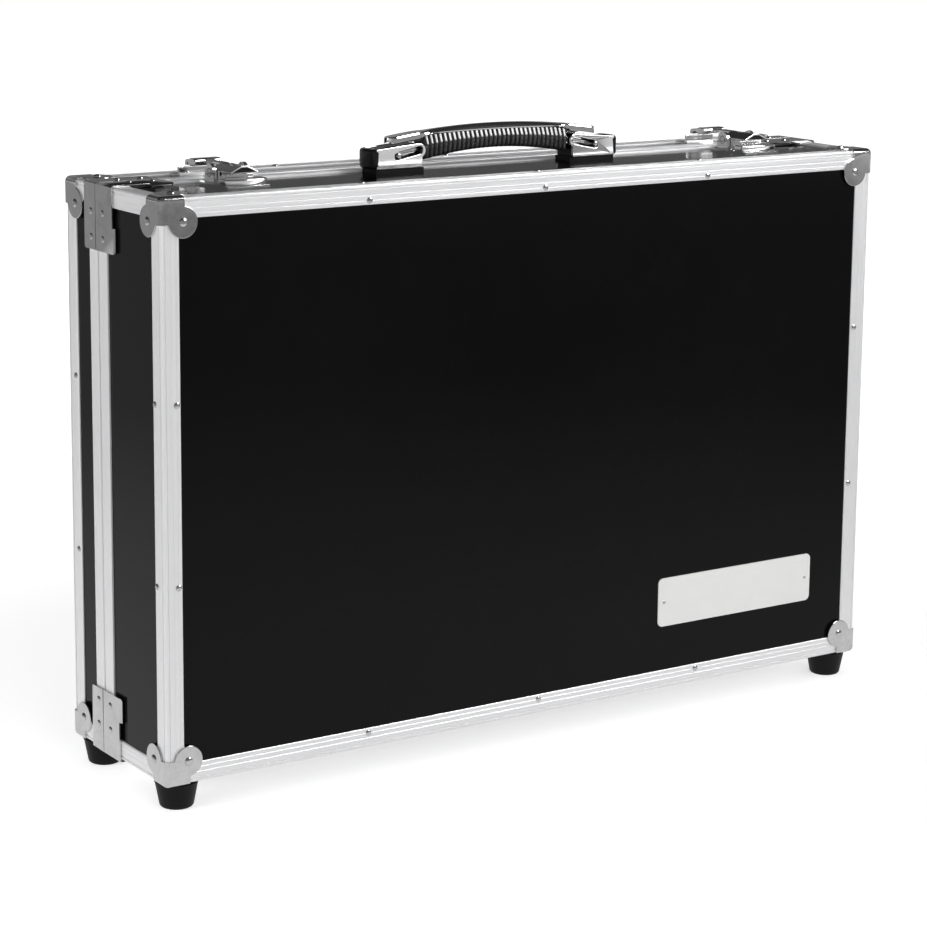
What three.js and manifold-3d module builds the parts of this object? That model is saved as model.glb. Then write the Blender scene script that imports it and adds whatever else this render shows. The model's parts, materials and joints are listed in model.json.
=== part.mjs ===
// Guitar pedal case: two plywood shells with black laminate, edged in aluminium extrusion.
// The deep front shell (body) carries the handle, the latches and the pedal deck.
// The shallow rear shell (lid) swings back on two hinges under the bottom edge.
// Millimetres, +Z up, front face towards -Y, origin on the floor under the middle of the case.

import * as THREE from "three";
import { mergeVertices } from "three/addons/utils/BufferGeometryUtils.js";
import Module from "manifold-3d";

const wasm = await Module();
wasm.setup();

// Case
const caseWidth = 560;
const caseHeight = 365;
const bodyDepth = 84;
const lidDepth = 44;
const caseDepth = bodyDepth + lidDepth;
const splitGap = 0.8;
const footHeight = 18;
const plyThickness = 7;
const facePlyThickness = 5;
const fitGap = 0.3;
const cutOverrun = 2;

// Aluminium extrusions
const profileWall = 1.5;
const flangeWidth = 12.7;
const closureWidth = 11.5;
const closureWeb = 1.5;
const closureLegLength = 9;
const closureLegWall = 1.2;
const tongueHeight = 3;
const tongueWall = 2;
const tongueInset = 3.6;
const grooveClearance = 0.7;
const frameRivetRadius = 2.1;
const frameRivetHeight = 1.1;
const frameRivetInset = 9.8;
const frameRivetPitchX = 134;
const frameRivetPitchZ = 113.5;

// Three lobed corner caps
const capWall = 1.2;
const lobeRadius = 9.8;
const lobeCentre = 14.8;
const capReach = 16;
const capRivetRadius = 2.7;
const capRivetHeight = 1.3;

// Brackets over the split at the four corners
const bracketWall = 1.4;
const bracketLeg = 41;
const bodyBracketWidth = 22;
const bracketToFoot = 0.4;
const bracketRivetInset = 17;
const bracketRivetPitch = 16;
const bodyBracketRivetFromSplit = 9.5;
const lidBracketRivetFromSplit = 6;
const bracketRivetRadius = 2.1;
const bracketRivetHeight = 0.9;
const wingWidth = 4;
const wingLength = 16;

// Rubber feet
const footTopRadius = 14;
const footBottomRadius = 10.5;
const footEdgeRound = 1.8;
const footInset = 14;
const footRecessRadius = 4;
const footRecessDepth = 8;

// Name plate, left bare
const plateWidth = 136.5;
const plateHeight = 34.5;
const plateCornerRadius = 4;
const plateWall = 1;
const plateFromEnd = 42.95;
const plateAboveBottom = 44;
const platePinRadius = 1.3;
const platePinHeight = 0.6;
const platePinInset = 5;

// Inside
const deckThickness = 9;
const deckClearance = 1;
const carpetThickness = 2;
const liningThickness = 6;
const lidFoamThickness = 14;

// Handle: u runs outwards from the middle of the case, h up from the top of the case
const handleCentreFromSplit = 20.5;
const cheekSpan = 19;
const cheekWall = 1.6;
const cheekOuterU = 95.3;
const cheekLength = 37.6;
const cheekEndBulge = 4.7;
const padThickness = 2.9;
const padInset = 1;
const cheekOuterHeight = 12.9;
const cheekInnerHeight = 15.6;
const studRadius = 2.1;
const studProud = 1.2;
const studFromEnd = 16.3;
const studH = 9.3;
const slotRun = 16.5;
const slotRise = 3.2;
const slotClearance = 0.45;
const strapWall = 2;
const strapSpan = 12;
const strapTail = 6;
const strapReach = 31;
const gripToCheek = 0.7;
const gripSpan = 16.5;
const gripUndersideH = 10.8;
const gripUndersideDrop = 6;
const coverTopH = 27.2;
const coverDrop = 6;
const coverFromEnd = 13.3;
const coverWall = 1;
const coverSpan = 13;
const handleLift = 5;
const pocketClearance = 0.5;

// Latches: s runs back from the split, h up from the top of the case
const latchFromEnd = 76;
const latchBaseFrontS = -56;
const latchBaseBackS = -14;
const latchBaseWidth = 30;
const latchBaseTopH = 0.3;
const latchBlockBackS = -44;
const latchBlockTopH = 4.4;
const pivotS = -28;
const pivotH = 6.5;
const earRadius = 5.5;
const earWall = 2.2;
const trunnionRadius = 2.4;
const pivotClearance = 0.35;
const sideClearance = 0.4;
const leverWidth = 20;
const leverWall = 1.8;
const leverTopH = 12.2;
const leverNoseS = -50;
const leverNoseH = 9.6;
const leverNoseTopS = -46.5;
const leverChinH = 8.1;
const leverNoseDepth = 3;
const leverHipS = -42;
const leverHipH = 7.1;
const leverKneeS = -40.6;
const leverKneeH = 3.5;
const leverHeelRadius = 5;
const leverRoofBackS = -41.5;
const leverArmBackS = -26.5;
const hookPinS = -38;
const hookPinRadius = 1.4;
const hookKnuckleRadius = 2.7;
const neckUnderH = 5.2;
const neckTopH = 7.6;
const neckBackS = -31;
const hookRampS = -26;
const hookShoulderS = -21;
const hookWidth = 26;
const hookTopH = 12;
const hookWall = 2.2;
const hookNoseInnerS = 16;
const hookNoseWall = 2.6;
const hookNoseTipH = 6.4;
const keeperWidth = 24;
const keeperWall = 2;
const keeperToClosure = 0.5;
const keeperToFlange = 1.8;
const keeperLipWall = 2.4;
const keeperLipTopH = 6;
const keeperLipToNose = 0.6;
const keeperRivetFromBack = 6.5;

// Hinges under the bottom edge
const hingeFromCentre = 150;
const hingeLength = 48;
const hingeLeafWall = 1.5;
const hingeLeafReach = 24;
const barrelRadius = 3.3;
const hingePinRadius = 1.5;
const knuckleGap = 0.4;
const knuckleShare = 0.3;

// An arc of an outline is drawn in twice as many straight segments as this.
const quarter = Math.PI / 2;
const arcHalfSegments = 2;
const lobeArcs = 6;
const footSegments = 20;
const gripSegments = 16;
const rivetSegments = 8;
const archSegments = 10;

const floorOfCase = footHeight;
const topOfCase = footHeight + caseHeight;
const frontFace = -caseDepth / 2;
const splitY = frontFace + bodyDepth;
const cheekInnerU = cheekOuterU - cheekLength;
const studU = cheekOuterU - studFromEnd;
const slotInnerU = studU - slotRun;
const slotInnerH = studH + slotRise;
const gripHalfLength = cheekInnerU - gripToCheek;
const coverHalfLength = cheekOuterU - coverFromEnd;
const keeperFrontS = splitGap / 2 + closureWidth + keeperToClosure;
const keeperBackS = lidDepth - flangeWidth - keeperToFlange;
const body = { name: "body", face: frontFace, inward: 1, depth: bodyDepth - splitGap / 2 };
const lid = {
  name: "lid",
  face: caseDepth / 2,
  inward: -1,
  depth: lidDepth - splitGap / 2,
};
const halves = [body, lid];
const sides = [
  { name: "left", sign: -1 },
  { name: "right", sign: 1 },
];
const levels = [
  { name: "top", edge: topOfCase, sign: 1 },
  { name: "bottom", edge: floorOfCase, sign: -1 },
];

function metal(color, roughness) {
  return new THREE.MeshStandardMaterial({ color, roughness, metalness: 1, flatShading: true });
}

function plain(color, roughness) {
  return new THREE.MeshStandardMaterial({ color, roughness, metalness: 0, flatShading: true });
}

const materials = {
  aluminium: metal(0xd4d6d8, 0.35),
  steel: metal(0xa9a9ae, 0.25),
  chrome: metal(0xe3e5e8, 0.08),
  laminate: plain(0x161618, 0.3),
  rubber: plain(0x0d0d0e, 0.8),
  plate: plain(0xf1f1ef, 0.4),
  deck: plain(0x2a2523, 0.7),
  carpet: plain(0x202022, 1),
  foam: plain(0x2b2b2e, 1),
};

// Frames turn local coordinates into case coordinates.
const alongX = (y, z, x) => [x, y, z];
const inHalf = (half) => (x, z, d) => [x, half.face + half.inward * d, z];
const atCorner = (half, side, level) => (a, b, d) => [
  side.sign * (caseWidth / 2 - a),
  half.face + half.inward * d,
  level.edge - level.sign * b,
];
const latchView = (side) => (s, h, w) => [
  side.sign * (caseWidth / 2 - latchFromEnd) + w,
  splitY + s,
  topOfCase + h,
];
const handleView = (side) => (u, h, w) => [
  side.sign * u,
  splitY - handleCentreFromSplit + w,
  topOfCase + h,
];
const handlePlan = (side) => (u, w, h) => handleView(side)(u, h, w);
// Turning the last two coordinates over lets an outline be extruded through another face.
const throughB = (frame) => (a, d, b) => frame(a, b, d);
const throughA = (frame) => (b, d, a) => frame(a, b, d);

// A closed geometry, placed by its frame, as a solid with its faces turned outwards.
function solid(geometry, frame) {
  const bare = geometry.index ? geometry.toNonIndexed() : geometry.clone();
  bare.deleteAttribute("normal");
  bare.deleteAttribute("uv");
  const merged = mergeVertices(bare);
  const points = merged.getAttribute("position");
  const placed = new Float32Array(points.count * 3);
  for (let i = 0; i < points.count; i++)
    placed.set(frame(points.getX(i), points.getY(i), points.getZ(i)), i * 3);
  const triangles = new Uint32Array(merged.index.array);
  const made = manifold(placed, triangles);
  if (made.volume() > 0) return made;
  for (let i = 0; i < triangles.length; i += 3) triangles.subarray(i, i + 3).reverse();
  return manifold(placed, triangles);
}

function manifold(vertProperties, triVerts) {
  return new wasm.Manifold(new wasm.Mesh({ numProp: 3, vertProperties, triVerts }));
}

// A block between three pairs of limits: a unit box stretched onto them.
function block(frame, [u0, u1], [v0, v1], [w0, w1]) {
  const stretch = (t, low, high) => (t < 0 ? low : high);
  return solid(new THREE.BoxGeometry(1, 1, 1), (u, v, w) =>
    frame(stretch(u, u0, u1), stretch(v, v0, v1), stretch(w, w0, w1)),
  );
}

// An outline in the frame's first two coordinates, extruded along the third.
function prism(frame, outline, w0, w1) {
  const options = { depth: 1, bevelEnabled: false, curveSegments: arcHalfSegments };
  const geometry = new THREE.ExtrudeGeometry(outline, options);
  return solid(geometry, (u, v, w) => frame(u, v, w > 0 ? w1 : w0));
}

function polygon(points) {
  return new THREE.Shape(points.map(([u, v]) => new THREE.Vector2(u, v)));
}

// Carries an outline round a centre by quarter turns.
function turn(outline, u, v, radius, start, quarters) {
  for (let i = 0; i < quarters; i++)
    outline.absarc(u, v, radius, start + i * quarter, start + (i + 1) * quarter);
  return outline;
}

// A circle of so many arcs.
function disc(u, v, radius, arcs = 4) {
  const outline = new THREE.Shape();
  for (let i = 0; i < arcs; i++)
    outline.absarc(u, v, radius, (4 * quarter * i) / arcs, (4 * quarter * (i + 1)) / arcs);
  return outline;
}

// A slot with round ends between two centres.
function stadium([u0, v0], [u1, v1], radius) {
  const slope = Math.atan2(v1 - v0, u1 - u0);
  const outline = turn(new THREE.Shape(), u1, v1, radius, slope - quarter, 2);
  return turn(outline, u0, v0, radius, slope + quarter, 2);
}

// A domed rivet head standing on w = foot and rising towards w = foot + height.
function rivet(frame, u, v, foot, radius, height) {
  const headShares = [
    [0, -0.4],
    [1, -0.4],
    [0.85, 0.6],
    [0, 1],
  ];
  const profile = headShares.map(([r, t]) => new THREE.Vector2(r, t));
  const head = new THREE.LatheGeometry(profile, rivetSegments);
  return solid(head, (x, y, z) => frame(u + x * radius, v + z * radius, foot + y * height));
}

function union(solids) {
  return solids.reduce((whole, next) => whole.add(next));
}

const caseGroup = new THREE.Group();
const groups = {};

// Adds a solid as a named mesh to the group of the body that it moves with.
function piece(moving, name, shape, material) {
  const { vertProperties, triVerts } = shape.getMesh();
  const geometry = new THREE.BufferGeometry();
  geometry.setAttribute("position", new THREE.BufferAttribute(vertProperties, 3));
  geometry.setIndex(new THREE.BufferAttribute(triVerts, 1));
  geometry.computeVertexNormals();
  const mesh = new THREE.Mesh(geometry, material);
  mesh.name = name;
  if (!groups[moving]) {
    groups[moving] = new THREE.Group();
    caseGroup.add(groups[moving]);
  }
  groups[moving].add(mesh);
}

// A rectangle of the case's own proportions, inset from its outer faces.
function slab(half, inset, d0, d1) {
  const halfWidth = caseWidth / 2 - inset;
  return block(
    inHalf(half),
    [-halfWidth, halfWidth],
    [floorOfCase + inset, topOfCase - inset],
    [d0, d1],
  );
}

function ring(half, outerInset, innerInset, d0, d1) {
  return slab(half, outerInset, d0, d1).subtract(
    slab(half, innerInset, d0 - cutOverrun, d1 + cutOverrun),
  );
}

const wallInset = profileWall + plyThickness;
const wallFront = profileWall + facePlyThickness;
const bodyWallEnd = body.depth - closureWeb;
const grooveDepth = tongueHeight + grooveClearance - splitGap;
const lidWallEnd = lid.depth - closureWeb - grooveDepth;

function addShell(half, wallEnd) {
  const panel = slab(half, profileWall, profileWall, wallFront);
  piece(half.name, `${half.name}_face_panel`, panel, materials.laminate);
  const walls = ring(half, profileWall, wallInset, wallFront, wallEnd);
  piece(half.name, `${half.name}_walls`, walls, materials.laminate);
}

// Rivet places along a flange: three on the long edges, two on the short ones.
function flangeRivets() {
  const middle = (floorOfCase + topOfCase) / 2;
  const across = caseWidth / 2 - frameRivetInset;
  const places = [];
  for (const level of levels)
    for (const step of [-1, 0, 1])
      places.push([step * frameRivetPitchX, level.edge - level.sign * frameRivetInset]);
  for (const side of sides)
    for (const step of [-1, 1])
      places.push([side.sign * across, middle + (step * frameRivetPitchZ) / 2]);
  return places;
}

// The same rivets on the flanges that lie on the walls, one step round the edge.
function edgeRivets(half) {
  const rivets = [];
  const middle = (floorOfCase + topOfCase) / 2;
  for (const level of levels) {
    const frame = (x, d, out) => inHalf(half)(x, level.edge + level.sign * out, d);
    for (const step of [-1, 0, 1])
      rivets.push(frameRivet(frame, step * frameRivetPitchX, frameRivetInset));
  }
  for (const side of sides) {
    const frame = (z, d, out) => inHalf(half)(side.sign * (caseWidth / 2 + out), z, d);
    for (const step of [-1, 1])
      rivets.push(frameRivet(frame, middle + (step * frameRivetPitchZ) / 2, frameRivetInset));
  }
  return rivets;
}

function frameRivet(frame, u, v) {
  return rivet(frame, u, v, 0, frameRivetRadius, frameRivetHeight);
}

// The angle extrusion round the face, with its four corner runs back to the split.
function addEdgeFrame(half) {
  const runEnd = half.depth - closureWidth;
  const angle = slab(half, 0, 0, flangeWidth)
    .subtract(slab(half, profileWall, profileWall, flangeWidth + cutOverrun))
    .subtract(slab(half, flangeWidth, -cutOverrun, profileWall + cutOverrun));
  const tube = ring(half, 0, profileWall, flangeWidth, runEnd);
  const corners = levels.flatMap((level) =>
    sides.map((side) =>
      block(
        atCorner(half, side, level),
        [-cutOverrun, flangeWidth],
        [-cutOverrun, flangeWidth],
        [0, half.depth],
      ),
    ),
  );
  const outwards = (x, z, out) => inHalf(half)(x, z, -out);
  const faceRivets = flangeRivets().map(([x, z]) => frameRivet(outwards, x, z));
  const frame = union([angle, tube.intersect(union(corners)), ...faceRivets, ...edgeRivets(half)]);
  piece(half.name, `${half.name}_edge_frame`, frame, materials.aluminium);
}

// The channel that grips the plywood at the split: strip outside, leg inside, web between.
function closureChannel(half, web) {
  const innerInset = wallInset + closureLegWall;
  return union([
    ring(half, 0, profileWall, half.depth - closureWidth, half.depth),
    ring(half, 0, innerInset, half.depth - web, half.depth),
    ring(half, wallInset, innerInset, half.depth - closureLegLength, half.depth),
  ]);
}

function addClosureProfiles() {
  const tongue = ring(
    body,
    tongueInset,
    tongueInset + tongueWall,
    body.depth - closureWeb / 2,
    body.depth + tongueHeight,
  );
  const bodyProfile = closureChannel(body, closureWeb).add(tongue);
  piece("body", "body_tongue_profile", bodyProfile, materials.aluminium);
  const groove = ring(
    lid,
    tongueInset - grooveClearance,
    tongueInset + tongueWall + grooveClearance,
    lid.depth - grooveDepth,
    lid.depth + cutOverrun,
  );
  const lidProfile = closureChannel(lid, closureWeb + grooveDepth).subtract(groove);
  piece("lid", "lid_groove_profile", lidProfile, materials.aluminium);
}

// A steel cap over a corner, with one round lobe on each of its three faces.
function addCornerCap(half, side, level) {
  const frame = atCorner(half, side, level);
  const cube = [-capWall, capReach];
  const inside = [0, capReach + cutOverrun];
  const faces = [frame, throughB(frame), throughA(frame)];
  const lobe = disc(lobeCentre, lobeCentre, lobeRadius, lobeArcs);
  const lobes = faces.map((f) => prism(f, lobe, -capWall, 0));
  const shell = block(frame, cube, cube, cube).subtract(block(frame, inside, inside, inside));
  // The bottom lobe carries a foot in place of a rivet.
  const riveted = level.sign > 0 ? faces : [faces[0], faces[2]];
  const heads = riveted.map((f) => {
    const outwards = (u, v, out) => f(u, v, -out);
    return rivet(outwards, lobeCentre, lobeCentre, capWall, capRivetRadius, capRivetHeight);
  });
  const name = `${half.name}_corner_${level.name}_${side.name}`;
  piece(half.name, name, union([shell, ...lobes, ...heads]), materials.steel);
}

// Half of the bracket over the split: one leg on the side, one on the top or bottom.
function addSplitBracket(half, side, level) {
  const onBody = half === body;
  const footReach = footInset + footTopRadius;
  const width = onBody ? bodyBracketWidth : half.depth - footReach - bracketToFoot;
  const rivetFromSplit = onBody ? bodyBracketRivetFromSplit : lidBracketRivetFromSplit;
  const corner = atCorner(half, side, level);
  const frame = (a, b, e) => corner(a, b, half.depth - e);
  const wall = [-bracketWall, 0];
  const leg = [-bracketWall, bracketLeg];
  const wing = [bracketLeg - wingLength, bracketLeg];
  const parts = [block(frame, wall, leg, [0, width]), block(frame, leg, wall, [0, width])];
  if (onBody) {
    const reach = [width - bracketWall, width + wingWidth];
    parts.push(block(frame, wall, wing, reach), block(frame, wing, wall, reach));
  }
  const onSide = (b, e, out) => frame(-out, b, e);
  const onLevel = (a, e, out) => frame(a, -out, e);
  for (const face of [onSide, onLevel])
    for (const step of [0, 1]) {
      const along = bracketRivetInset + step * bracketRivetPitch;
      const head = [bracketWall, bracketRivetRadius, bracketRivetHeight];
      parts.push(rivet(face, along, rivetFromSplit, ...head));
    }
  const name = `${half.name}_split_bracket_${level.name}_${side.name}`;
  piece(half.name, name, union(parts), materials.steel);
}

function addFoot(half, side) {
  const outline = [
    [0, footRecessDepth],
    [footRecessRadius, footRecessDepth],
    [footRecessRadius, 0],
    [footBottomRadius - footEdgeRound, 0],
    [footBottomRadius, footEdgeRound],
    [footTopRadius, floorOfCase - capWall],
    [0, floorOfCase - capWall],
  ];
  const profile = outline.map(([r, z]) => new THREE.Vector2(r, z));
  const lathe = new THREE.LatheGeometry(profile, footSegments);
  const x = side.sign * (caseWidth / 2 - footInset);
  const y = half.face + half.inward * footInset;
  const foot = solid(lathe, (u, z, v) => [x + u, y + v, z]);
  piece(half.name, `${half.name}_foot_${side.name}`, foot, materials.rubber);
}

function addNamePlate() {
  const right = caseWidth / 2 - plateFromEnd;
  const left = right - plateWidth;
  const low = floorOfCase + plateAboveBottom;
  const high = low + plateHeight;
  const r = plateCornerRadius;
  const outline = new THREE.Shape();
  turn(outline, right - r, high - r, r, 0, 1);
  turn(outline, left + r, high - r, r, quarter, 1);
  turn(outline, left + r, low + r, r, 2 * quarter, 1);
  turn(outline, right - r, low + r, r, 3 * quarter, 1);
  const frame = inHalf(body);
  const outwards = (x, z, out) => frame(x, z, -out);
  const pins = [left + platePinInset, right - platePinInset].map((x) => {
    const foot = plateWall - profileWall;
    return rivet(outwards, x, (low + high) / 2, foot, platePinRadius, platePinHeight);
  });
  const sheet = prism(frame, outline, profileWall - plateWall, profileWall);
  piece("body", "name_plate", union([sheet, ...pins]), materials.plate);
}

function addInside() {
  const deckBack = wallFront + fitGap + deckThickness;
  const carpetBack = deckBack + carpetThickness;
  const deckInset = wallInset + deckClearance;
  const deck = slab(body, deckInset, wallFront + fitGap, deckBack);
  piece("body", "pedal_deck", deck, materials.deck);
  const carpet = slab(body, deckInset, deckBack, carpetBack);
  piece("body", "deck_carpet", carpet, materials.carpet);
  const liningInset = wallInset + fitGap;
  const liningEnd = body.depth - closureLegLength - fitGap;
  const lining = ring(
    body,
    liningInset,
    liningInset + liningThickness,
    carpetBack + fitGap,
    liningEnd,
  );
  piece("body", "body_foam_lining", lining, materials.foam);
  const pad = slab(lid, liningInset, wallFront + fitGap, wallFront + fitGap + lidFoamThickness);
  piece("lid", "lid_foam_pad", pad, materials.foam);
}

// Height of the chrome cover's top and of the grip's underside at a distance from the middle.
const coverTop = (u) => coverTopH - coverDrop * (u / coverHalfLength) ** 2;
const gripUnderside = (u) => gripUndersideH - gripUndersideDrop * (u / gripHalfLength) ** 2;
const gripTop = (u) => coverTop(u) - coverWall - fitGap;
const padTop = padThickness - profileWall;
const slotTurn = Math.atan2(slotInnerH - studH, studU - slotInnerU);

// Offsets a point along the slot, towards the middle, and square to it, upwards.
function alongSlot(reach, rise) {
  return [
    studU - reach * Math.cos(slotTurn) + rise * Math.sin(slotTurn),
    studH + reach * Math.sin(slotTurn) + rise * Math.cos(slotTurn),
  ];
}

function addHandleBracket(side) {
  const frame = handleView(side);
  const plan = handlePlan(side);
  const half = cheekSpan / 2;
  const topOuter = padTop + cheekOuterHeight;
  const topInner = padTop + cheekInnerHeight;
  const outline = [
    [cheekInnerU, padTop],
    [cheekOuterU, padTop],
    [cheekOuterU, topOuter],
    [cheekInnerU, topInner],
  ];
  const hollow = [
    [cheekInnerU - cutOverrun, padTop - cutOverrun],
    [cheekOuterU - cheekWall, padTop - cutOverrun],
    [cheekOuterU - cheekWall, topOuter - cheekWall],
    [cheekInnerU, topInner - cheekWall],
    [cheekInnerU - cutOverrun, topInner - cheekWall],
  ];
  const end = new THREE.Shape();
  for (const start of [-quarter, 0])
    end.absellipse(cheekOuterU, 0, cheekEndBulge, half, start, start + quarter);
  const slot = stadium([slotInnerU, slotInnerH], [studU, studH], studRadius + slotClearance);
  const inner = half - cheekWall;
  const shell = prism(frame, polygon(outline), -half, half)
    .subtract(prism(frame, polygon(hollow), -inner, inner))
    .subtract(prism(frame, slot, -half - cutOverrun, half + cutOverrun))
    .add(prism(plan, end, padTop, topOuter));
  piece("body", `handle_bracket_${side.name}`, shell, materials.chrome);
  const pad = block(
    plan,
    [cheekInnerU + padInset, cheekOuterU],
    [padInset - half, half - padInset],
    [-profileWall, padTop],
  );
  piece("body", `handle_pad_${side.name}`, pad, materials.rubber);
}

// The strap's end: a flat tongue with the stud that runs in the bracket's slots.
function addHandleSlider(side) {
  const frame = handleView(side);
  const half = strapWall / 2;
  const tongue = polygon([
    alongSlot(-strapTail, -half),
    alongSlot(strapReach, -half),
    alongSlot(strapReach, half),
    alongSlot(-strapTail, half),
  ]);
  const reach = cheekSpan / 2 + studProud;
  const slider = prism(frame, tongue, -strapSpan / 2, strapSpan / 2).add(
    prism(frame, disc(studU, studH, studRadius), -reach, reach),
  );
  piece(`slider_${side.name}`, `handle_slider_${side.name}`, slider, materials.steel);
}

// The grip is a unit cylinder along X, drawn out between its underside and its top.
function addGrip() {
  const rounded = (t) => Math.sign(t) * Math.sqrt(Math.abs(t));
  const cylinder = new THREE.CylinderGeometry(1, 1, 1, gripSegments, archSegments);
  const centre = splitY - handleCentreFromSplit;
  const grip = solid(cylinder, (across, along, up) => {
    const u = 2 * along * gripHalfLength;
    const middle = (gripTop(u) + gripUnderside(u)) / 2;
    const half = (gripTop(u) - gripUnderside(u)) / 2;
    return [u, centre + (rounded(across) * gripSpan) / 2, topOfCase + middle + rounded(up) * half];
  });
  const slide = Math.hypot(studU - slotInnerU, slotInnerH - studH);
  const drop = handleLift * Math.cos(slotTurn);
  const half = strapWall / 2 + pocketClearance;
  const mouth = studU - gripHalfLength - cutOverrun;
  const pockets = sides.map((side) => {
    const outline = polygon([
      alongSlot(mouth, -half - drop),
      alongSlot(strapReach + slide + pocketClearance, -half - drop),
      alongSlot(strapReach + slide + pocketClearance, half),
      alongSlot(mouth, half),
    ]);
    const reach = strapSpan / 2 + pocketClearance;
    return prism(handleView(side), outline, -reach, reach);
  });
  piece("handle", "handle_grip", grip.subtract(union(pockets)), materials.rubber);
}

function addCover() {
  const steps = Array.from({ length: archSegments + 1 }, (_, i) => (2 * i) / archSegments - 1);
  const above = steps.map((t) => [t * coverHalfLength, coverTop(t * coverHalfLength)]);
  const below = above.map(([u, h]) => [u, h - coverWall]).reverse();
  const outline = polygon([...above, ...below]);
  const cover = prism(handleView({ sign: 1 }), outline, -coverSpan / 2, coverSpan / 2);
  piece("handle", "handle_cover_strip", cover, materials.chrome);
}

function addLatchBase(side) {
  const frame = latchView(side);
  const half = latchBaseWidth / 2;
  const earIn = leverWidth / 2 + sideClearance;
  const ears = sides.map(({ sign }) => {
    const between = [sign * earIn, sign * (earIn + earWall)];
    const post = block(
      frame,
      [pivotS - earRadius, pivotS + earRadius],
      [-profileWall, pivotH],
      between,
    );
    return post.add(prism(frame, disc(pivotS, pivotH, earRadius), ...between));
  });
  const bore = disc(pivotS, pivotH, trunnionRadius + pivotClearance);
  const shape = union([
    block(frame, [latchBaseFrontS, latchBaseBackS], [-profileWall, latchBaseTopH], [-half, half]),
    block(frame, [latchBaseFrontS, latchBlockBackS], [-profileWall, latchBlockTopH], [-half, half]),
    ...ears,
  ]).subtract(prism(frame, bore, -half - cutOverrun, half + cutOverrun));
  piece("body", `latch_base_${side.name}`, shape, materials.chrome);
}

// The lever: a closed nose under a short roof, two arms, and a trunnion in each ear.
function addLatchLever(side) {
  const frame = latchView(side);
  const half = leverWidth / 2;
  const outline = new THREE.Shape();
  outline.moveTo(leverNoseS, leverNoseH);
  outline.lineTo(leverNoseS + leverWall, leverChinH);
  outline.lineTo(leverHipS, leverHipH);
  outline.lineTo(leverKneeS, leverKneeH);
  outline.lineTo(pivotS, pivotH - leverHeelRadius);
  turn(outline, pivotS, pivotH, leverHeelRadius, -quarter, 1);
  outline.lineTo(leverArmBackS, leverTopH);
  outline.lineTo(leverNoseTopS, leverTopH);
  // Behind the roof the hook's neck lies open between two arms.
  const front = leverNoseS + leverWall + leverNoseDepth;
  const back = pivotS + leverHeelRadius + cutOverrun;
  const low = leverKneeH - leverHeelRadius;
  const hollow = [
    [front, low],
    [back, low],
    [back, leverTopH + cutOverrun],
    [leverRoofBackS, leverTopH + cutOverrun],
    [leverRoofBackS, leverTopH - leverWall],
    [front, leverTopH - leverWall],
  ];
  const inner = half - leverWall;
  const trunnionReach = half + sideClearance + earWall;
  const trunnion = prism(
    frame,
    disc(pivotS, pivotH, trunnionRadius),
    -trunnionReach,
    trunnionReach,
  );
  const pinBore = disc(hookPinS, pivotH, hookPinRadius + pivotClearance);
  const lever = prism(frame, outline, -half, half)
    .add(trunnion)
    .subtract(prism(frame, polygon(hollow), -inner, inner))
    .subtract(prism(frame, pinBore, -half - cutOverrun, half + cutOverrun));
  piece(`lever_${side.name}`, `latch_lever_${side.name}`, lever, materials.chrome);
  const pin = prism(frame, disc(hookPinS, pivotH, hookPinRadius), -half, half);
  piece(`lever_${side.name}`, `latch_hook_pin_${side.name}`, pin, materials.steel);
}

// The draw hook: a knuckle on the lever's pin, a neck, and a broad plate with a nose.
function addLatchHook(side) {
  const frame = latchView(side);
  const narrow = leverWidth / 2 - leverWall - sideClearance;
  const broad = hookWidth / 2;
  const neck = [
    [hookPinS, neckUnderH],
    [neckBackS, neckUnderH],
    [hookRampS, hookTopH - hookWall],
    [hookShoulderS + hookWall, hookTopH - hookWall],
    [hookShoulderS + hookWall, hookTopH],
    [hookRampS, hookTopH],
    [neckBackS, neckTopH],
    [hookPinS, neckTopH],
  ];
  const tipS = hookNoseInnerS + hookNoseWall;
  const plate = [
    [hookShoulderS, hookTopH - hookWall],
    [hookNoseInnerS, hookTopH - hookWall],
    [hookNoseInnerS, hookNoseTipH],
    [tipS, hookNoseTipH],
    [tipS, hookTopH - hookWall / 2],
    [tipS - hookWall / 2, hookTopH],
    [hookShoulderS, hookTopH],
  ];
  const bore = disc(hookPinS, pivotH, hookPinRadius + pivotClearance);
  const hook = union([
    prism(frame, disc(hookPinS, pivotH, hookKnuckleRadius), -narrow, narrow),
    prism(frame, polygon(neck), -narrow, narrow),
    prism(frame, polygon(plate), -broad, broad),
  ]).subtract(prism(frame, bore, -broad, broad));
  piece(`hook_${side.name}`, `latch_hook_${side.name}`, hook, materials.chrome);
}

// The keeper on the lid, with the lip that the hook's nose drops behind.
function addLatchKeeper(side) {
  const frame = latchView(side);
  const half = keeperWidth / 2;
  const lipBack = hookNoseInnerS - keeperLipToNose;
  const plateTop = keeperWall - profileWall;
  const lip = [lipBack - keeperLipWall, lipBack];
  const upwards = (w, s, h) => frame(s, h, w);
  const keeper = union([
    block(frame, [keeperFrontS, keeperBackS], [-profileWall, plateTop], [-half, half]),
    block(frame, lip, [-profileWall, keeperLipTopH], [-half, half]),
    rivet(upwards, 0, keeperBackS - keeperRivetFromBack, plateTop, capRivetRadius, capRivetHeight),
  ]);
  piece("lid", `latch_keeper_${side.name}`, keeper, materials.chrome);
}

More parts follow.
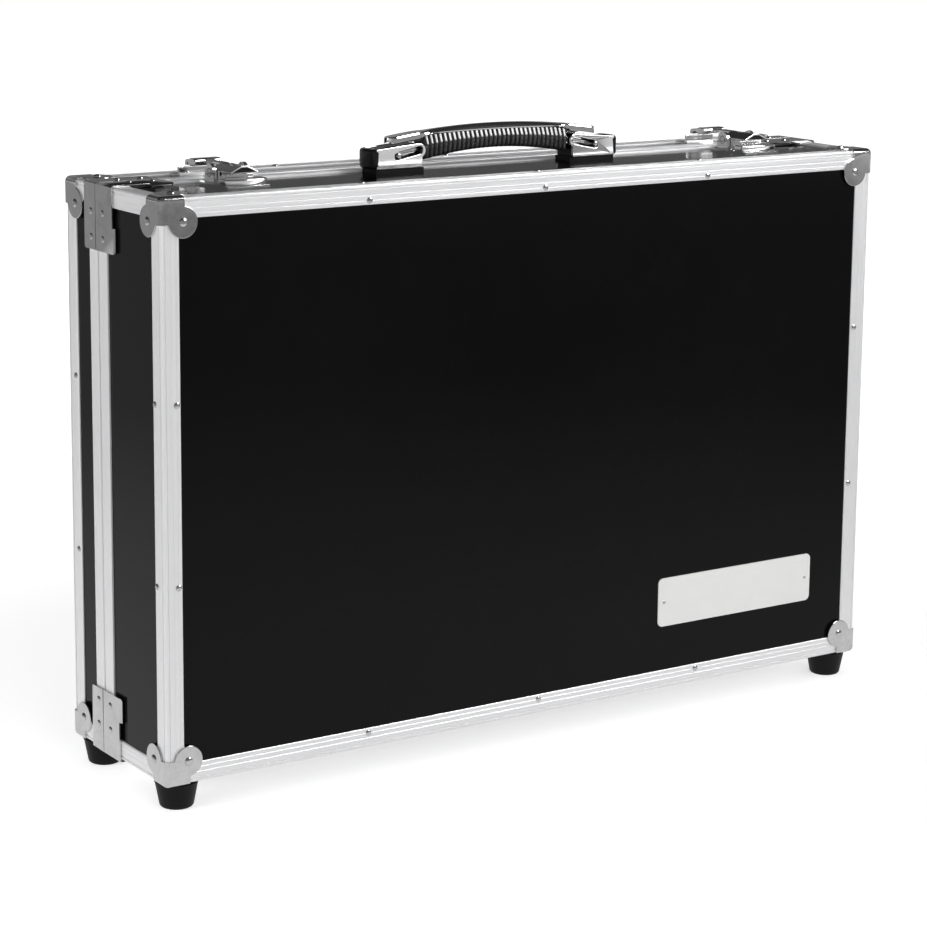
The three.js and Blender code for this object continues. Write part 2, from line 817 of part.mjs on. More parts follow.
// A butt hinge flat on the bottom, its barrel just below the split.
function addHinge(side) {
  const centre = side.sign * hingeFromCentre;
  const axisZ = floorOfCase - barrelRadius - fitGap;
  const leafZ = [floorOfCase - hingeLeafWall, floorOfCase];
  const lidKnuckle = hingeLength * knuckleShare;
  const bore = disc(splitY, axisZ, hingePinRadius + pivotClearance);
  const barrel = disc(splitY, axisZ, barrelRadius);
  const clear = barrelRadius + knuckleGap;
  const end = hingeLength / 2;
  const between = (x0, x1) => [centre + x0, centre + x1];
  const sheet = (away, near, far, x) =>
    block(alongX, [splitY + away * near, splitY + away * far], leafZ, x);
  const leaf = (away) => sheet(away, clear, hingeLeafReach, between(-end, end));
  const knuckle = (away, x0, x1) =>
    prism(alongX, barrel, ...between(x0, x1)).add(sheet(away, 0, clear, between(x0, x1)));
  const gapped = lidKnuckle / 2 + knuckleGap;
  const cutOut = prism(alongX, bore, ...between(-end - cutOverrun, end + cutOverrun));
  const bodyLeaf = union([leaf(-1), knuckle(-1, -end, -gapped), knuckle(-1, gapped, end)]);
  const lidLeaf = leaf(1).add(knuckle(1, -lidKnuckle / 2, lidKnuckle / 2));
  piece("body", `hinge_body_leaf_${side.name}`, bodyLeaf.subtract(cutOut), materials.steel);
  piece("lid", `hinge_lid_leaf_${side.name}`, lidLeaf.subtract(cutOut), materials.steel);
  const pin = prism(alongX, disc(splitY, axisZ, hingePinRadius), ...between(-end, end));
  piece("body", `hinge_pin_${side.name}`, pin, materials.steel);
}

addShell(body, bodyWallEnd);
addShell(lid, lidWallEnd);
addClosureProfiles();
for (const half of halves) {
  addEdgeFrame(half);
  for (const side of sides) {
    addFoot(half, side);
    for (const level of levels) {
      addCornerCap(half, side, level);
      addSplitBracket(half, side, level);
    }
  }
}
addNamePlate();
addInside();
addGrip();
addCover();
for (const side of sides) {
  addHandleBracket(side);
  addHandleSlider(side);
  addLatchBase(side);
  addLatchLever(side);
  addLatchHook(side);
  addLatchKeeper(side);
  addHinge(side);
}

export default caseGroup;
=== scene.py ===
"""Guitar pedal case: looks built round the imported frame. Metres, +Z up, front face towards -Y."""

import json
import math
import random

import bmesh
import bpy
from mathutils import Matrix, Vector


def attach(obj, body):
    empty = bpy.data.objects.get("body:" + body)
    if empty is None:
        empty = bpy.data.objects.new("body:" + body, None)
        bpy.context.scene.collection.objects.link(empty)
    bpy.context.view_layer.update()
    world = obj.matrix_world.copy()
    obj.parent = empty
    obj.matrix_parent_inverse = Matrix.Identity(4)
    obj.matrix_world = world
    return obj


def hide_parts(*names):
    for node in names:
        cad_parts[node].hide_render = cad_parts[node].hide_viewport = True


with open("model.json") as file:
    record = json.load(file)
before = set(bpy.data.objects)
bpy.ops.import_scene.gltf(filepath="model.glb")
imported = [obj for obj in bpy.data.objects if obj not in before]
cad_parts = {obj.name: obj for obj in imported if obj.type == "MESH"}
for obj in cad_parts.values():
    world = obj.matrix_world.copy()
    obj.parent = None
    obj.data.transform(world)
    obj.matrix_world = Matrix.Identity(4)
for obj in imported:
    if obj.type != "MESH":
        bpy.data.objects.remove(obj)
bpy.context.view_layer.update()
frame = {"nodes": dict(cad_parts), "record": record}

MM = 0.001
QUARTER_TURN = math.pi / 2
# Places closer than this are the same place
TOUCH = 0.001 * MM
# A face looks straight along an axis when its normal has more than this of it
STRAIGHT = 0.99

# The case, in metres
WIDTH = 560 * MM
HEIGHT = 365 * MM
BODY_DEPTH = 84 * MM
LID_DEPTH = 44 * MM
SPLIT_GAP = 0.8 * MM
FLOOR_OF_CASE = 18 * MM
TOP_OF_CASE = FLOOR_OF_CASE + HEIGHT
MIDDLE_Z = FLOOR_OF_CASE + HEIGHT / 2
FRONT = -(BODY_DEPTH + LID_DEPTH) / 2
BACK = -FRONT
SPLIT = FRONT + BODY_DEPTH
FLANGE = 12.7 * MM
CLOSURE = 11.5 * MM


# Modelling steps


def bare():
    if bpy.context.mode != "OBJECT":
        bpy.ops.object.mode_set(mode="OBJECT")
    bpy.ops.object.select_all(action="DESELECT")


def start(name, shape, **size):
    """Adds a primitive and leaves it as the active piece, in object mode."""
    bare()
    getattr(bpy.ops.mesh, f"primitive_{shape}_add")(**size)
    piece = bpy.context.object
    piece.name = piece.data.name = name
    return piece


def settle(piece):
    bpy.ops.object.transform_apply(location=True, rotation=True, scale=True)
    return piece


def focus(piece):
    bare()
    bpy.context.view_layer.objects.active = piece
    piece.select_set(True)
    return piece


def edit(piece):
    focus(piece)
    bpy.ops.object.mode_set(mode="EDIT")
    bpy.ops.mesh.select_all(action="SELECT")


def near(a, b):
    return abs(a - b) < TOUCH


def pick(piece, kind, test):
    """In edit mode, selects what passes the test: vertices, edges or faces."""
    bpy.ops.mesh.select_mode(type=kind)
    bpy.ops.mesh.select_all(action="DESELECT")
    mesh = bmesh.from_edit_mesh(piece.data)
    parts = {"VERT": mesh.verts, "EDGE": mesh.edges, "FACE": mesh.faces}[kind]
    for part in parts:
        part.select_set(test(part))
    mesh.select_flush_mode()
    bmesh.update_edit_mesh(piece.data)


def pick_edges(piece, test):
    """Selects the edges whose middles pass the test."""
    pick(piece, "EDGE", lambda edge: test((edge.verts[0].co + edge.verts[1].co) / 2))


def pick_ends(piece, axis, sign):
    """Selects the faces that look straight along an axis."""
    index = "xyz".index(axis)
    pick(piece, "FACE", lambda face: sign * face.normal[index] > STRAIGHT)


def pick_rim():
    """Selects the open edges."""
    bpy.ops.mesh.select_mode(type="EDGE")
    bpy.ops.mesh.select_all(action="DESELECT")
    bpy.ops.mesh.select_non_manifold()


def leave(piece):
    bpy.ops.mesh.select_all(action="SELECT")
    bpy.ops.mesh.remove_doubles(threshold=0.002 * MM)
    bpy.ops.mesh.normals_make_consistent(inside=False)
    bpy.ops.object.mode_set(mode="OBJECT")
    return piece


def push(offset):
    bpy.ops.mesh.extrude_region_move(TRANSFORM_OT_translate={"value": offset})


def inset(thickness, depth=0.0):
    bpy.ops.mesh.inset(thickness=thickness, depth=depth)


def round_edges(piece, radius, segments, test):
    pick_edges(piece, test)
    bpy.ops.mesh.bevel(offset=radius, segments=segments, affect="EDGES")


def cut_across(at, normal):
    """Adds edges where a plane crosses the piece."""
    bpy.ops.mesh.select_all(action="SELECT")
    bpy.ops.mesh.bisect(plane_co=at, plane_no=normal)


def box(name, low, high):
    size = [h - l for l, h in zip(low, high)]
    centre = [(h + l) / 2 for l, h in zip(low, high)]
    return settle(start(name, "cube", size=1, location=centre, scale=size))


def sheet_of(name, points):
    """A flat face on these points: a disc whose rim is drawn out to them."""
    piece = start(name, "circle", vertices=len(points), fill_type="NGON")
    for vertex, point in zip(piece.data.vertices, points):
        vertex.co = point
    return piece


def prism(name, points, along):
    """The face on these points, drawn out into a solid."""
    piece = sheet_of(name, points)
    edit(piece)
    push(along)
    return leave(piece)


def rod(name, centre, radius, half_length, axis, sides=32):
    turn = {"x": (0, QUARTER_TURN, 0), "y": (QUARTER_TURN, 0, 0), "z": (0, 0, 0)}[axis]
    size = {"vertices": sides, "radius": radius, "depth": 2 * half_length}
    return settle(start(name, "cylinder", location=centre, rotation=turn, **size))


def modify(piece, kind, **settings):
    """Adds a modifier, sets it and applies it."""
    focus(piece)
    step = piece.modifiers.new(kind.lower(), kind)
    for key, value in settings.items():
        setattr(step, key, value)
    bpy.ops.object.modifier_apply(modifier=step.name)
    return piece


def combine(piece, other, operation):
    """Joins or cuts a piece with another, which is used up."""
    modify(piece, "BOOLEAN", operation=operation, object=other, solver="EXACT")
    bpy.data.objects.remove(other)
    return piece


def weld(piece, *others):
    for other in others:
        combine(piece, other, "UNION")
    return piece


def carve(piece, *others):
    for other in others:
        combine(piece, other, "DIFFERENCE")
    return piece


def soften(piece, width, segments=2, degrees=35):
    """Rounds every edge sharper than the angle."""
    limit = {"limit_method": "ANGLE", "angle_limit": math.radians(degrees)}
    return modify(piece, "BEVEL", width=width, segments=segments, use_clamp_overlap=True, **limit)


def clear_slivers(piece):
    """Takes out faces and edges that cuts and bevels left with no size."""
    edit(piece)
    bpy.ops.mesh.remove_doubles(threshold=0.003 * MM)
    bpy.ops.mesh.dissolve_degenerate(threshold=0.003 * MM)
    return leave(piece)


def polish(piece, degrees=32):
    """Smooths across shallow edges, and keeps broad flat faces flat."""
    focus(piece)
    bpy.ops.object.shade_smooth_by_angle(angle=math.radians(degrees))
    return modify(piece, "WEIGHTED_NORMAL", keep_sharp=True, weight=100)


def gather(name, *pieces):
    """Several closed shells as one piece."""
    bare()
    for piece in pieces:
        piece.select_set(True)
    bpy.context.view_layer.objects.active = pieces[0]
    if len(pieces) > 1:
        bpy.ops.object.join()
    pieces[0].name = pieces[0].data.name = name
    return pieces[0]


def copy_at(model, name, matrix):
    """A copy of a finished model with a mesh of its own, laid out by a matrix."""
    copy = model.copy()
    copy.data = model.data.copy()
    bpy.context.scene.collection.objects.link(copy)
    copy.data.transform(matrix)
    if matrix.determinant() < 0:
        copy.data.flip_normals()
    copy.name = copy.data.name = name
    return copy


def discard(*models):
    for model in models:
        bpy.data.objects.remove(model)


def dress(piece, material):
    piece.data.materials.clear()
    piece.data.materials.append(material)


def place(piece, body, slot, stands_for=(), material=None):
    """Gives a finished piece its material, its body and the nodes that it stands for."""
    dress(piece, material or BY_SLOT[slot])
    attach(piece, body)
    if stands_for:
        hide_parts(*stands_for)
    return piece


def arc(u, v, radius, start_angle, end_angle, steps):
    """Points on an arc, in degrees, both ends included."""
    turns = [start_angle + (end_angle - start_angle) * i / steps for i in range(steps + 1)]
    places = [(math.cos(math.radians(t)), math.sin(math.radians(t))) for t in turns]
    return [(u + radius * c, v + radius * s) for c, s in places]


def at_mm(*place_in_mm):
    return tuple(value * MM for value in place_in_mm)


def in_mm(points):
    return [at_mm(*point) for point in points]


# Where things sit

# A half's face, the way into it, and its depth
HALVES = {
    "body": (FRONT, 1, BODY_DEPTH - SPLIT_GAP / 2),
    "lid": (BACK, -1, LID_DEPTH - SPLIT_GAP / 2),
}
SIDES = {"left": -1, "right": 1}
LEVELS = {"top": (TOP_OF_CASE, 1), "bottom": (FLOOR_OF_CASE, -1)}
CORNERS = [(side, level) for side in SIDES for level in LEVELS]
LATCH_FROM_END = 76 * MM
HANDLE_Y = SPLIT - 20.5 * MM


def columns(a, b, c, origin):
    """A matrix that carries local axes and origin to these vectors."""
    matrix = Matrix((a, b, c)).transposed().to_4x4()
    matrix.translation = origin
    return matrix


def facing(at, outwards):
    """A matrix that stands a model's +Z on a place, pointing outwards."""
    turn = Vector((0, 0, 1)).rotation_difference(Vector(outwards)).to_matrix().to_4x4()
    turn.translation = at
    return turn


def corner_matrix(half, side, level, from_split=False):
    """Local a runs in from the side, b from the top or bottom, d from the face or the split."""
    face, inward, depth = HALVES[half]
    if from_split:
        face, inward = face + inward * depth, -inward
    edge, up = LEVELS[level]
    sign = SIDES[side]
    origin = (sign * WIDTH / 2, face, edge)
    return columns((-sign, 0, 0), (0, 0, -up), (0, inward, 0), origin)


def latch_matrix(side):
    """Local s runs back from the split, h up from the top, w across."""
    x = SIDES[side] * (WIDTH / 2 - LATCH_FROM_END)
    return columns((0, 1, 0), (0, 0, 1), (1, 0, 0), (x, SPLIT, TOP_OF_CASE))


def handle_matrix(side):
    """Local u runs out from the middle, h up from the top, w back."""
    return columns((SIDES[side], 0, 0), (0, 0, 1), (0, 1, 0), (0, HANDLE_Y, TOP_OF_CASE))


def fit_pairs(table, matrix_of):
    """Copies each model to the left and the right, and uses it up."""
    for model, name, body, slot, node, material in table:
        for side in SIDES:
            piece = copy_at(model, f"{name}_{side}", matrix_of(side))
            nodes = [node.format(side)] if node else []
            place(piece, body.format(side), slot, nodes, material)
        discard(model)


# Shader groups


def new_group(name, outputs, **sizes):
    """A group that takes a place and some sizes, and gives numbers."""
    group = bpy.data.node_groups.new(name, "ShaderNodeTree")
    group.interface.new_socket("Place", in_out="INPUT", socket_type="NodeSocketVector")
    for label, value in sizes.items():
        made = group.interface.new_socket(label, in_out="INPUT", socket_type="NodeSocketFloat")
        made.default_value = value
    for label in outputs:
        group.interface.new_socket(label, in_out="OUTPUT", socket_type="NodeSocketFloat")
    return group, Wiring(group)


class Wiring:
    """Adds nodes to a tree and joins them up."""

    def __init__(self, tree):
        self.tree = tree
        self.entry = None
        self.exit = None

    def node(self, kind, **settings):
        made = self.tree.nodes.new("ShaderNode" + kind)
        for key, value in settings.items():
            setattr(made, key, value)
        return made

    def feed(self, socket, value):
        if isinstance(value, bpy.types.NodeSocket):
            self.tree.links.new(value, socket)
        else:
            socket.default_value = value

    def wired(self, kind, output, inputs, **settings):
        """Adds a node, feeds its inputs and returns one output."""
        made = self.node(kind, **settings)
        for label, value in inputs.items():
            self.feed(made.inputs[label], value)
        return made.outputs[output]

    def given(self, label):
        if self.entry is None:
            self.entry = self.tree.nodes.new("NodeGroupInput")
        return self.entry.outputs[label]

    def give(self, label, value):
        if self.exit is None:
            self.exit = self.tree.nodes.new("NodeGroupOutput")
        self.feed(self.exit.inputs[label], value)

    def math(self, operation, a, b=0.0, c=0.0, clamp=False):
        inputs = {0: a, 1: b, 2: c}
        return self.wired("Math", 0, inputs, operation=operation, use_clamp=clamp)

    def weighted(self, a, share_a, b, share_b):
        return self.math("MULTIPLY_ADD", a, share_a, self.math("MULTIPLY", b, share_b))

    def noise(self, where, scale, detail=2.0, roughness=0.5, distortion=0.0):
        look = {"Detail": detail, "Roughness": roughness, "Distortion": distortion}
        return self.wired("TexNoise", "Fac", {"Vector": where, "Scale": scale, **look})

    def remap(self, value, low, high, to_low, to_high):
        ends = {"From Min": low, "From Max": high, "To Min": to_low, "To Max": to_high}
        return self.wired("MapRange", "Result", {"Value": value, **ends}, clamp=True)

    def mix(self, share, a, b):
        return self.wired("Mix", 2, {0: share, 6: a, 7: b}, data_type="RGBA")

    def blend(self, share, a, b):
        return self.wired("Mix", 0, {0: share, 2: a, 3: b}, data_type="FLOAT")

    def stretched(self, where, scale):
        return self.wired("Mapping", "Vector", {"Vector": where, "Scale": scale})

    def split(self, where):
        made = self.node("SeparateXYZ")
        self.feed(made.inputs[0], where)
        return made.outputs

    def bump(self, height, strength, distance):
        relief = {"Strength": strength, "Distance": distance}
        return self.wired("Bump", "Normal", {"Height": height, **relief})


def smudge_group():
    """Slow cloudy variation, from 0 to 1, as of handling and polish."""
    group, w = new_group("handling_marks", ["Marks"], Size=30.0, Contrast=1.0)
    broad = w.noise(w.given("Place"), w.given("Size"), 3.0, 0.55, 0.4)
    fine = w.noise(w.given("Place"), w.math("MULTIPLY", w.given("Size"), 7.0), 4.0, 0.6)
    both = w.weighted(fine, 0.35, broad, 0.65)
    spread = w.math("MULTIPLY", w.math("SUBTRACT", both, 0.5), w.given("Contrast"))
    w.give("Marks", w.math("MULTIPLY_ADD", spread, 2.2, 0.5, clamp=True))
    return group


def streak_group():
    """Lengthwise drawing marks of an extrusion: upright at the case's sides, level elsewhere."""
    group, w = new_group("drawing_marks", ["Marks", "Broad"], Fineness=1.0)
    where, fineness = w.given("Place"), w.given("Fineness")
    x, _, z = w.split(where)
    from_side = w.math("SUBTRACT", WIDTH / 2, w.math("ABSOLUTE", x))
    from_middle = w.math("ABSOLUTE", w.math("SUBTRACT", z, MIDDLE_Z))
    from_level = w.math("SUBTRACT", HEIGHT / 2, from_middle)
    upright = w.math("LESS_THAN", from_side, from_level)
    lengthwise, across = 6, 1500
    level = w.noise(w.stretched(where, (lengthwise, across, across)), fineness, 3.0, 0.6)
    tall = w.noise(w.stretched(where, (across, across, lengthwise)), fineness, 3.0, 0.6)
    w.give("Marks", w.blend(upright, level, tall))
    w.give("Broad", w.noise(where, 18.0, 3.0, 0.55))
    return group


def scratch_group():
    """Sparse hair scratches, 1 in a scratch and 0 elsewhere."""
    group, w = new_group("hair_scratches", ["Scratch"], Size=60.0, Amount=0.5)
    total = 0.0
    for turn in (0.4, 1.35, 2.3):
        inputs = {"Vector": w.given("Place"), "Rotation": (turn, 0.7 * turn, 1.9 * turn)}
        turned = w.wired("VectorRotate", 0, inputs, rotation_type="EULER_XYZ")
        lines = w.noise(w.stretched(turned, (1, 26, 26)), w.given("Size"), 1.0, 0.4)
        ridge = w.math("ABSOLUTE", w.math("SUBTRACT", lines, 0.5))
        thin = w.remap(ridge, 0.0, 0.006, 1.0, 0.0)
        spots = w.noise(turned, w.math("MULTIPLY", w.given("Size"), 0.6), 2.0)
        here = w.math("MULTIPLY", thin, w.remap(spots, 0.55, 0.7, 0.0, 1.0))
        total = w.math("MAXIMUM", total, here)
    w.give("Scratch", w.math("MULTIPLY", total, w.given("Amount"), clamp=True))
    return group


def pebble_group():
    """The fine leathery grain of laminate, rubber and foam, as a height."""
    group, w = new_group("fine_grain", ["Height"], Size=900.0)
    inputs = {"Vector": w.given("Place"), "Scale": w.given("Size")}
    cells = w.wired("TexVoronoi", "Distance", inputs, feature="F1")
    soft = w.noise(w.given("Place"), w.math("MULTIPLY", w.given("Size"), 0.7), 3.0, 0.6)
    w.give("Height", w.weighted(soft, 0.6, cells, 0.8))
    return group


SMUDGE = smudge_group()
STREAK = streak_group()
SCRATCH = scratch_group()
PEBBLE = pebble_group()


# Finishes


class Finish(Wiring):
    """A material whose shader is set up by hand, with the shared groups to hand."""

    def __init__(self, name, base, metallic, roughness, **constants):
        self.material = bpy.data.materials.new(name)
        self.material.use_nodes = True
        super().__init__(self.material.node_tree)
        self.shader = self.tree.nodes["Principled BSDF"]
        self.where = self.node("TexCoord").outputs["Object"]
        self.set("Base Color", base)
        self.set("Metallic", metallic)
        self.set("Roughness", roughness)
        for label, value in constants.items():
            self.set(label.replace("_", " "), value)

    def set(self, label, value):
        self.feed(self.shader.inputs[label], value)

    def use(self, group, output, **inputs):
        return self.wired("Group", output, {"Place": self.where, **inputs}, node_tree=group)

    def cover(self, colour, roughness, normal):
        self.set("Base Color", colour)
        self.set("Roughness", roughness)
        self.set("Normal", normal)
        return self.material


def grey(value, *tint):
    return (*(value * t for t in tint or (1, 1, 1)), 1)


def handled_finish(
    name, base, metallic, roughness, marks, tones, gloss, relief, scratches=None, grain=None,
    **constants,
):
    """Cloudy marks between two tones and two roughnesses, with scratches and a grain.

    marks: size, contrast. relief: strength, distance.
    scratches: size, amount, roughening, share of the bared tone, bared tone.
    """
    f = Finish(name, base, metallic, roughness, **constants)
    cloud = f.use(SMUDGE, "Marks", Size=marks[0], Contrast=marks[1])
    colour = f.mix(cloud, *tones)
    rough = f.remap(cloud, 0.0, 1.0, *gloss)
    if scratches:
        size, amount, roughening, share, bared = scratches
        scratch = f.use(SCRATCH, "Scratch", Size=size, Amount=amount)
        if roughening:
            rough = f.math("MULTIPLY_ADD", scratch, roughening, rough)
        if share:
            colour = f.mix(f.math("MULTIPLY", scratch, share), colour, grey(bared))
    height = f.use(PEBBLE, "Height", Size=grain) if grain else cloud
    return f.cover(colour, rough, f.bump(height, *relief))


def rubber_finish(name, dark, roughness, grain, depth, gleam):
    return handled_finish(
        name, grey(dark), 0.0, roughness,
        marks=(40.0, 0.9), tones=(grey(dark * 0.75), grey(dark * 1.5)),
        gloss=(roughness - 0.08, roughness + 0.08), relief=(0.25, depth),
        grain=grain, Specular_IOR_Level=gleam,
    )


def aluminium_finish():
    f = Finish("drawn_aluminium", grey(0.82), 0.5, 0.42)
    marks = f.use(STREAK, "Marks", Fineness=1.0)
    broad = f.use(STREAK, "Broad", Fineness=1.0)
    scratch = f.use(SCRATCH, "Scratch", Size=30.0, Amount=0.35)
    tone = f.weighted(broad, 0.35, marks, 0.65)
    clean = f.mix(tone, grey(0.77, 1, 1, 1.015), grey(0.89, 1, 1, 1.01))
    colour = f.mix(f.math("MULTIPLY", scratch, 0.4), clean, grey(0.66))
    return f.cover(colour, f.remap(marks, 0.3, 0.7, 0.36, 0.5), f.bump(marks, 0.12, 0.03 * MM))


def wood_finish():
    f = Finish("stained_plywood", (0.10, 0.08, 0.06, 1), 0.0, 0.55)
    rings = f.noise(f.stretched(f.where, (4, 60, 60)), 5.0, 5.0, 0.6, 1.5)
    pores = f.noise(f.stretched(f.where, (20, 700, 700)), 2.0, 2.0, 0.5)
    tone = f.weighted(pores, 0.35, rings, 0.65)
    colour = f.mix(tone, (0.055, 0.042, 0.03, 1), (0.15, 0.12, 0.09, 1))
    return f.cover(colour, f.remap(tone, 0.2, 0.8, 0.65, 0.45), f.bump(pores, 0.2, 0.1 * MM))


def fibre_finish(name, dark, light, size, depth):
    f = Finish(name, grey(dark), 0.0, 0.95, Sheen_Weight=0.4, Sheen_Roughness=0.5)
    fuzz = f.noise(f.where, size, 4.0, 0.7)
    cells = f.use(PEBBLE, "Height", Size=size * 1.3)
    tone = f.weighted(fuzz, 0.5, cells, 0.5)
    colour = f.mix(tone, grey(dark), grey(light))
    return f.cover(colour, f.remap(tone, 0.0, 1.0, 0.88, 1.0), f.bump(tone, 0.5, depth))


BY_SLOT = {
    "laminate": handled_finish(
        "black_laminate", grey(0.004), 0.0, 0.12,
        marks=(5.0, 0.8), tones=(grey(0.0027), grey(0.0046, 1, 1, 1.04)),
        gloss=(0.08, 0.15), relief=(0.10, 0.05 * MM), scratches=(9.0, 0.25, 0.15, 0, 0),
        grain=1500.0, Specular_IOR_Level=0.11,
    ),
    "aluminium": aluminium_finish(),
    "steel": handled_finish(
        "nickel_plated_steel", grey(0.6), 1.0, 0.12,
        marks=(60.0, 1.0), tones=(grey(0.50, 1, 0.99, 1), grey(0.66, 1, 1, 1.01)),
        gloss=(0.08, 0.16), relief=(0.06, 0.1 * MM), scratches=(70.0, 0.5, 0.2, 0.5, 0.36),
    ),
    "chrome": handled_finish(
        "polished_chrome", grey(0.82), 1.0, 0.07,
        marks=(45.0, 1.0), tones=(grey(0.72, 1, 1, 1.01), grey(0.86)),
        gloss=(0.04, 0.13), relief=(0.03, 0.1 * MM), scratches=(80.0, 0.3, 0.2, 0, 0),
    ),
    "rubber": rubber_finish("matte_rubber", 0.005, 0.5, 1400.0, 0.08 * MM, 0.14),
    "grip": rubber_finish("glossy_ribbed_rubber", 0.018, 0.25, 2500.0, 0.02 * MM, 0.85),
    "plate": handled_finish(
        "white_plate", grey(0.84), 0.0, 0.32,
        marks=(25.0, 0.7), tones=(grey(0.78, 1, 1, 0.99), grey(0.86, 1, 1, 0.99)),
        gloss=(0.28, 0.4), relief=(0.05, 0.03 * MM), scratches=(60.0, 0.5, 0, 0.35, 0.5),
        grain=1800.0, Coat_Weight=0.3, Coat_Roughness=0.2,
    ),
    "deck": wood_finish(),
    "carpet": fibre_finish("loop_carpet", 0.012, 0.045, 700.0, 0.8 * MM),
    "foam": fibre_finish("open_cell_foam", 0.02, 0.055, 1100.0, 0.5 * MM),
}
MOULDED = rubber_finish("glossy_moulded_black", 0.005, 0.16, 2200.0, 0.01 * MM, 0.3)
for part in frame["record"]["subparts"]:
    dress(frame["nodes"][part["node"]], BY_SLOT[part["material_slot"]])


# Domed rivet heads, modelled once on +Z and copied

# Shares of the radius and of the height
DOME_STEPS = ((0.16, 0.34), (0.2, 0.26), (0.26, 0.14), (0.2, 0.06))
DOME_FOOT = 0.1


def rivet_model(radius, height):
    """A low dome with a rolled rim, its foot at z = 0."""
    head = rod("rivet_model", (0, 0, DOME_FOOT * height), radius, DOME_FOOT * height, "z", 24)
    edit(head)
    pick_ends(head, "z", 1)
    for narrowing, rise in DOME_STEPS:
        inset(narrowing * radius, rise * height)
    leave(head)
    return polish(head, 50)


def riveted(model, name, matrix, rivet, spots):
    """A copy of a model with its rivets. Each spot is a place and the way it looks."""
    heads = [copy_at(rivet, "rivet_head", matrix @ facing(at, out)) for at, out in spots]
    return gather(name, copy_at(model, name, matrix), *heads)


FRAME_RIVET = rivet_model(2.1 * MM, 1.1 * MM)
CAP_RIVET = rivet_model(2.7 * MM, 1.3 * MM)
BRACKET_RIVET = rivet_model(2.1 * MM, 0.9 * MM)


# Aluminium edging: profiles carried round the case, with their rivets

BEAD = 1.7
EDGING_WALL = 1.5
# The outer line of a flange in millimetres: distance from the corner, depth
FLANGE_LINE = [
    *((2.15, 0.12), (2.35, 0.6), (2.95, 0.6), (3.15, 0.15)),
    *((6.4, 0.15), (6.55, 0.3), (6.75, 0.3), (6.9, 0.15)),
    *((9.6, 0.15), (9.75, 0.3), (9.95, 0.3), (10.1, 0.15)),
    *((11.7, 0.15), (12.35, 0.4), (12.7, 0.85)),
]
FLANGE_SKIN = 0.15 * MM
RIVET_INSET = 9.8 * MM
RIVET_PITCH_X = 134 * MM
RIVET_PITCH_Z = 113.5 * MM


def edging_outline():
    """The angle's section: a bead on the corner and a ribbed flange each way, in metres."""
    bead = arc(BEAD, BEAD, BEAD, 180, 270, 6)
    side = [(b, a) for a, b in reversed(FLANGE_LINE)]
    reach = FLANGE_LINE[-1][0]
    inside = [(reach, EDGING_WALL), (EDGING_WALL, EDGING_WALL), (EDGING_WALL, reach)]
    return in_mm(side + bead + FLANGE_LINE + inside)


def profiled_ring(name, outline):
    """A section carried round the case with mitred corners. Each point is (from side, y)."""
    from_side, y = outline[0]
    piece = start(name, "plane", size=1, location=(0, y, MIDDLE_Z), rotation=(QUARTER_TURN, 0, 0))
    piece.scale = (WIDTH - 2 * from_side, HEIGHT - 2 * from_side, 1)
    settle(piece)
    edit(piece)
    bpy.ops.mesh.delete(type="ONLY_FACE")
    bpy.ops.mesh.select_mode(type="EDGE")
    bpy.ops.mesh.select_all(action="SELECT")
    for next_from_side, next_y in outline[1:]:
        push((0, next_y - y, 0))
        across = (WIDTH - 2 * next_from_side) / (WIDTH - 2 * from_side)
        upright = (HEIGHT - 2 * next_from_side) / (HEIGHT - 2 * from_side)
        centre = (0, next_y, MIDDLE_Z)
        bpy.ops.transform.resize(value=(across, 1, upright), center_override=centre)
        from_side, y = next_from_side, next_y
    pick_rim()
    bpy.ops.mesh.bridge_edge_loops()
    return leave(piece)


def edge_rivets(half):
    """Three rivets on each long flange and two on each short one, front and round the edge."""
    face, inward, _ = HALVES[half]
    along_edge = face + inward * RIVET_INSET
    on_face = face + inward * FLANGE_SKIN
    spots = []
    for edge, up in LEVELS.values():
        for step in (-1, 0, 1):
            x = step * RIVET_PITCH_X
            front = (x, on_face, edge - up * RIVET_INSET)
            round_edge = (x, along_edge, edge - up * FLANGE_SKIN)
            spots += [(front, (0, -inward, 0)), (round_edge, (0, 0, up))]
    for sign in SIDES.values():
        for step in (-1, 1):
            z = MIDDLE_Z + step * RIVET_PITCH_Z / 2
            front = (sign * (WIDTH / 2 - RIVET_INSET), on_face, z)
            round_edge = (sign * (WIDTH / 2 - FLANGE_SKIN), along_edge, z)
            spots += [(front, (0, -inward, 0)), (round_edge, (sign, 0, 0))]
    return [copy_at(FRAME_RIVET, "edge_rivet", facing(at, out)) for at, out in spots]


def edge_frame(half):
    face, inward, depth = HALVES[half]
    outline = edging_outline()
    ring = profiled_ring(f"{half}_edging", [(a, face + inward * d) for a, d in outline])
    polish(ring)
    run_length = depth - CLOSURE - FLANGE
    run = polish(prism("corner_run", [(a, b, FLANGE) for a, b in outline], (0, 0, run_length)))
    runs = [copy_at(run, "corner_run", corner_matrix(half, *corner)) for corner in CORNERS]
    discard(run)
    piece = gather(f"{half}_aluminium_edging", ring, *runs)
    place(piece, half, "aluminium", [f"{half}_edge_frame"])
    place(gather(f"{half}_edging_rivets", *edge_rivets(half)), half, "steel")


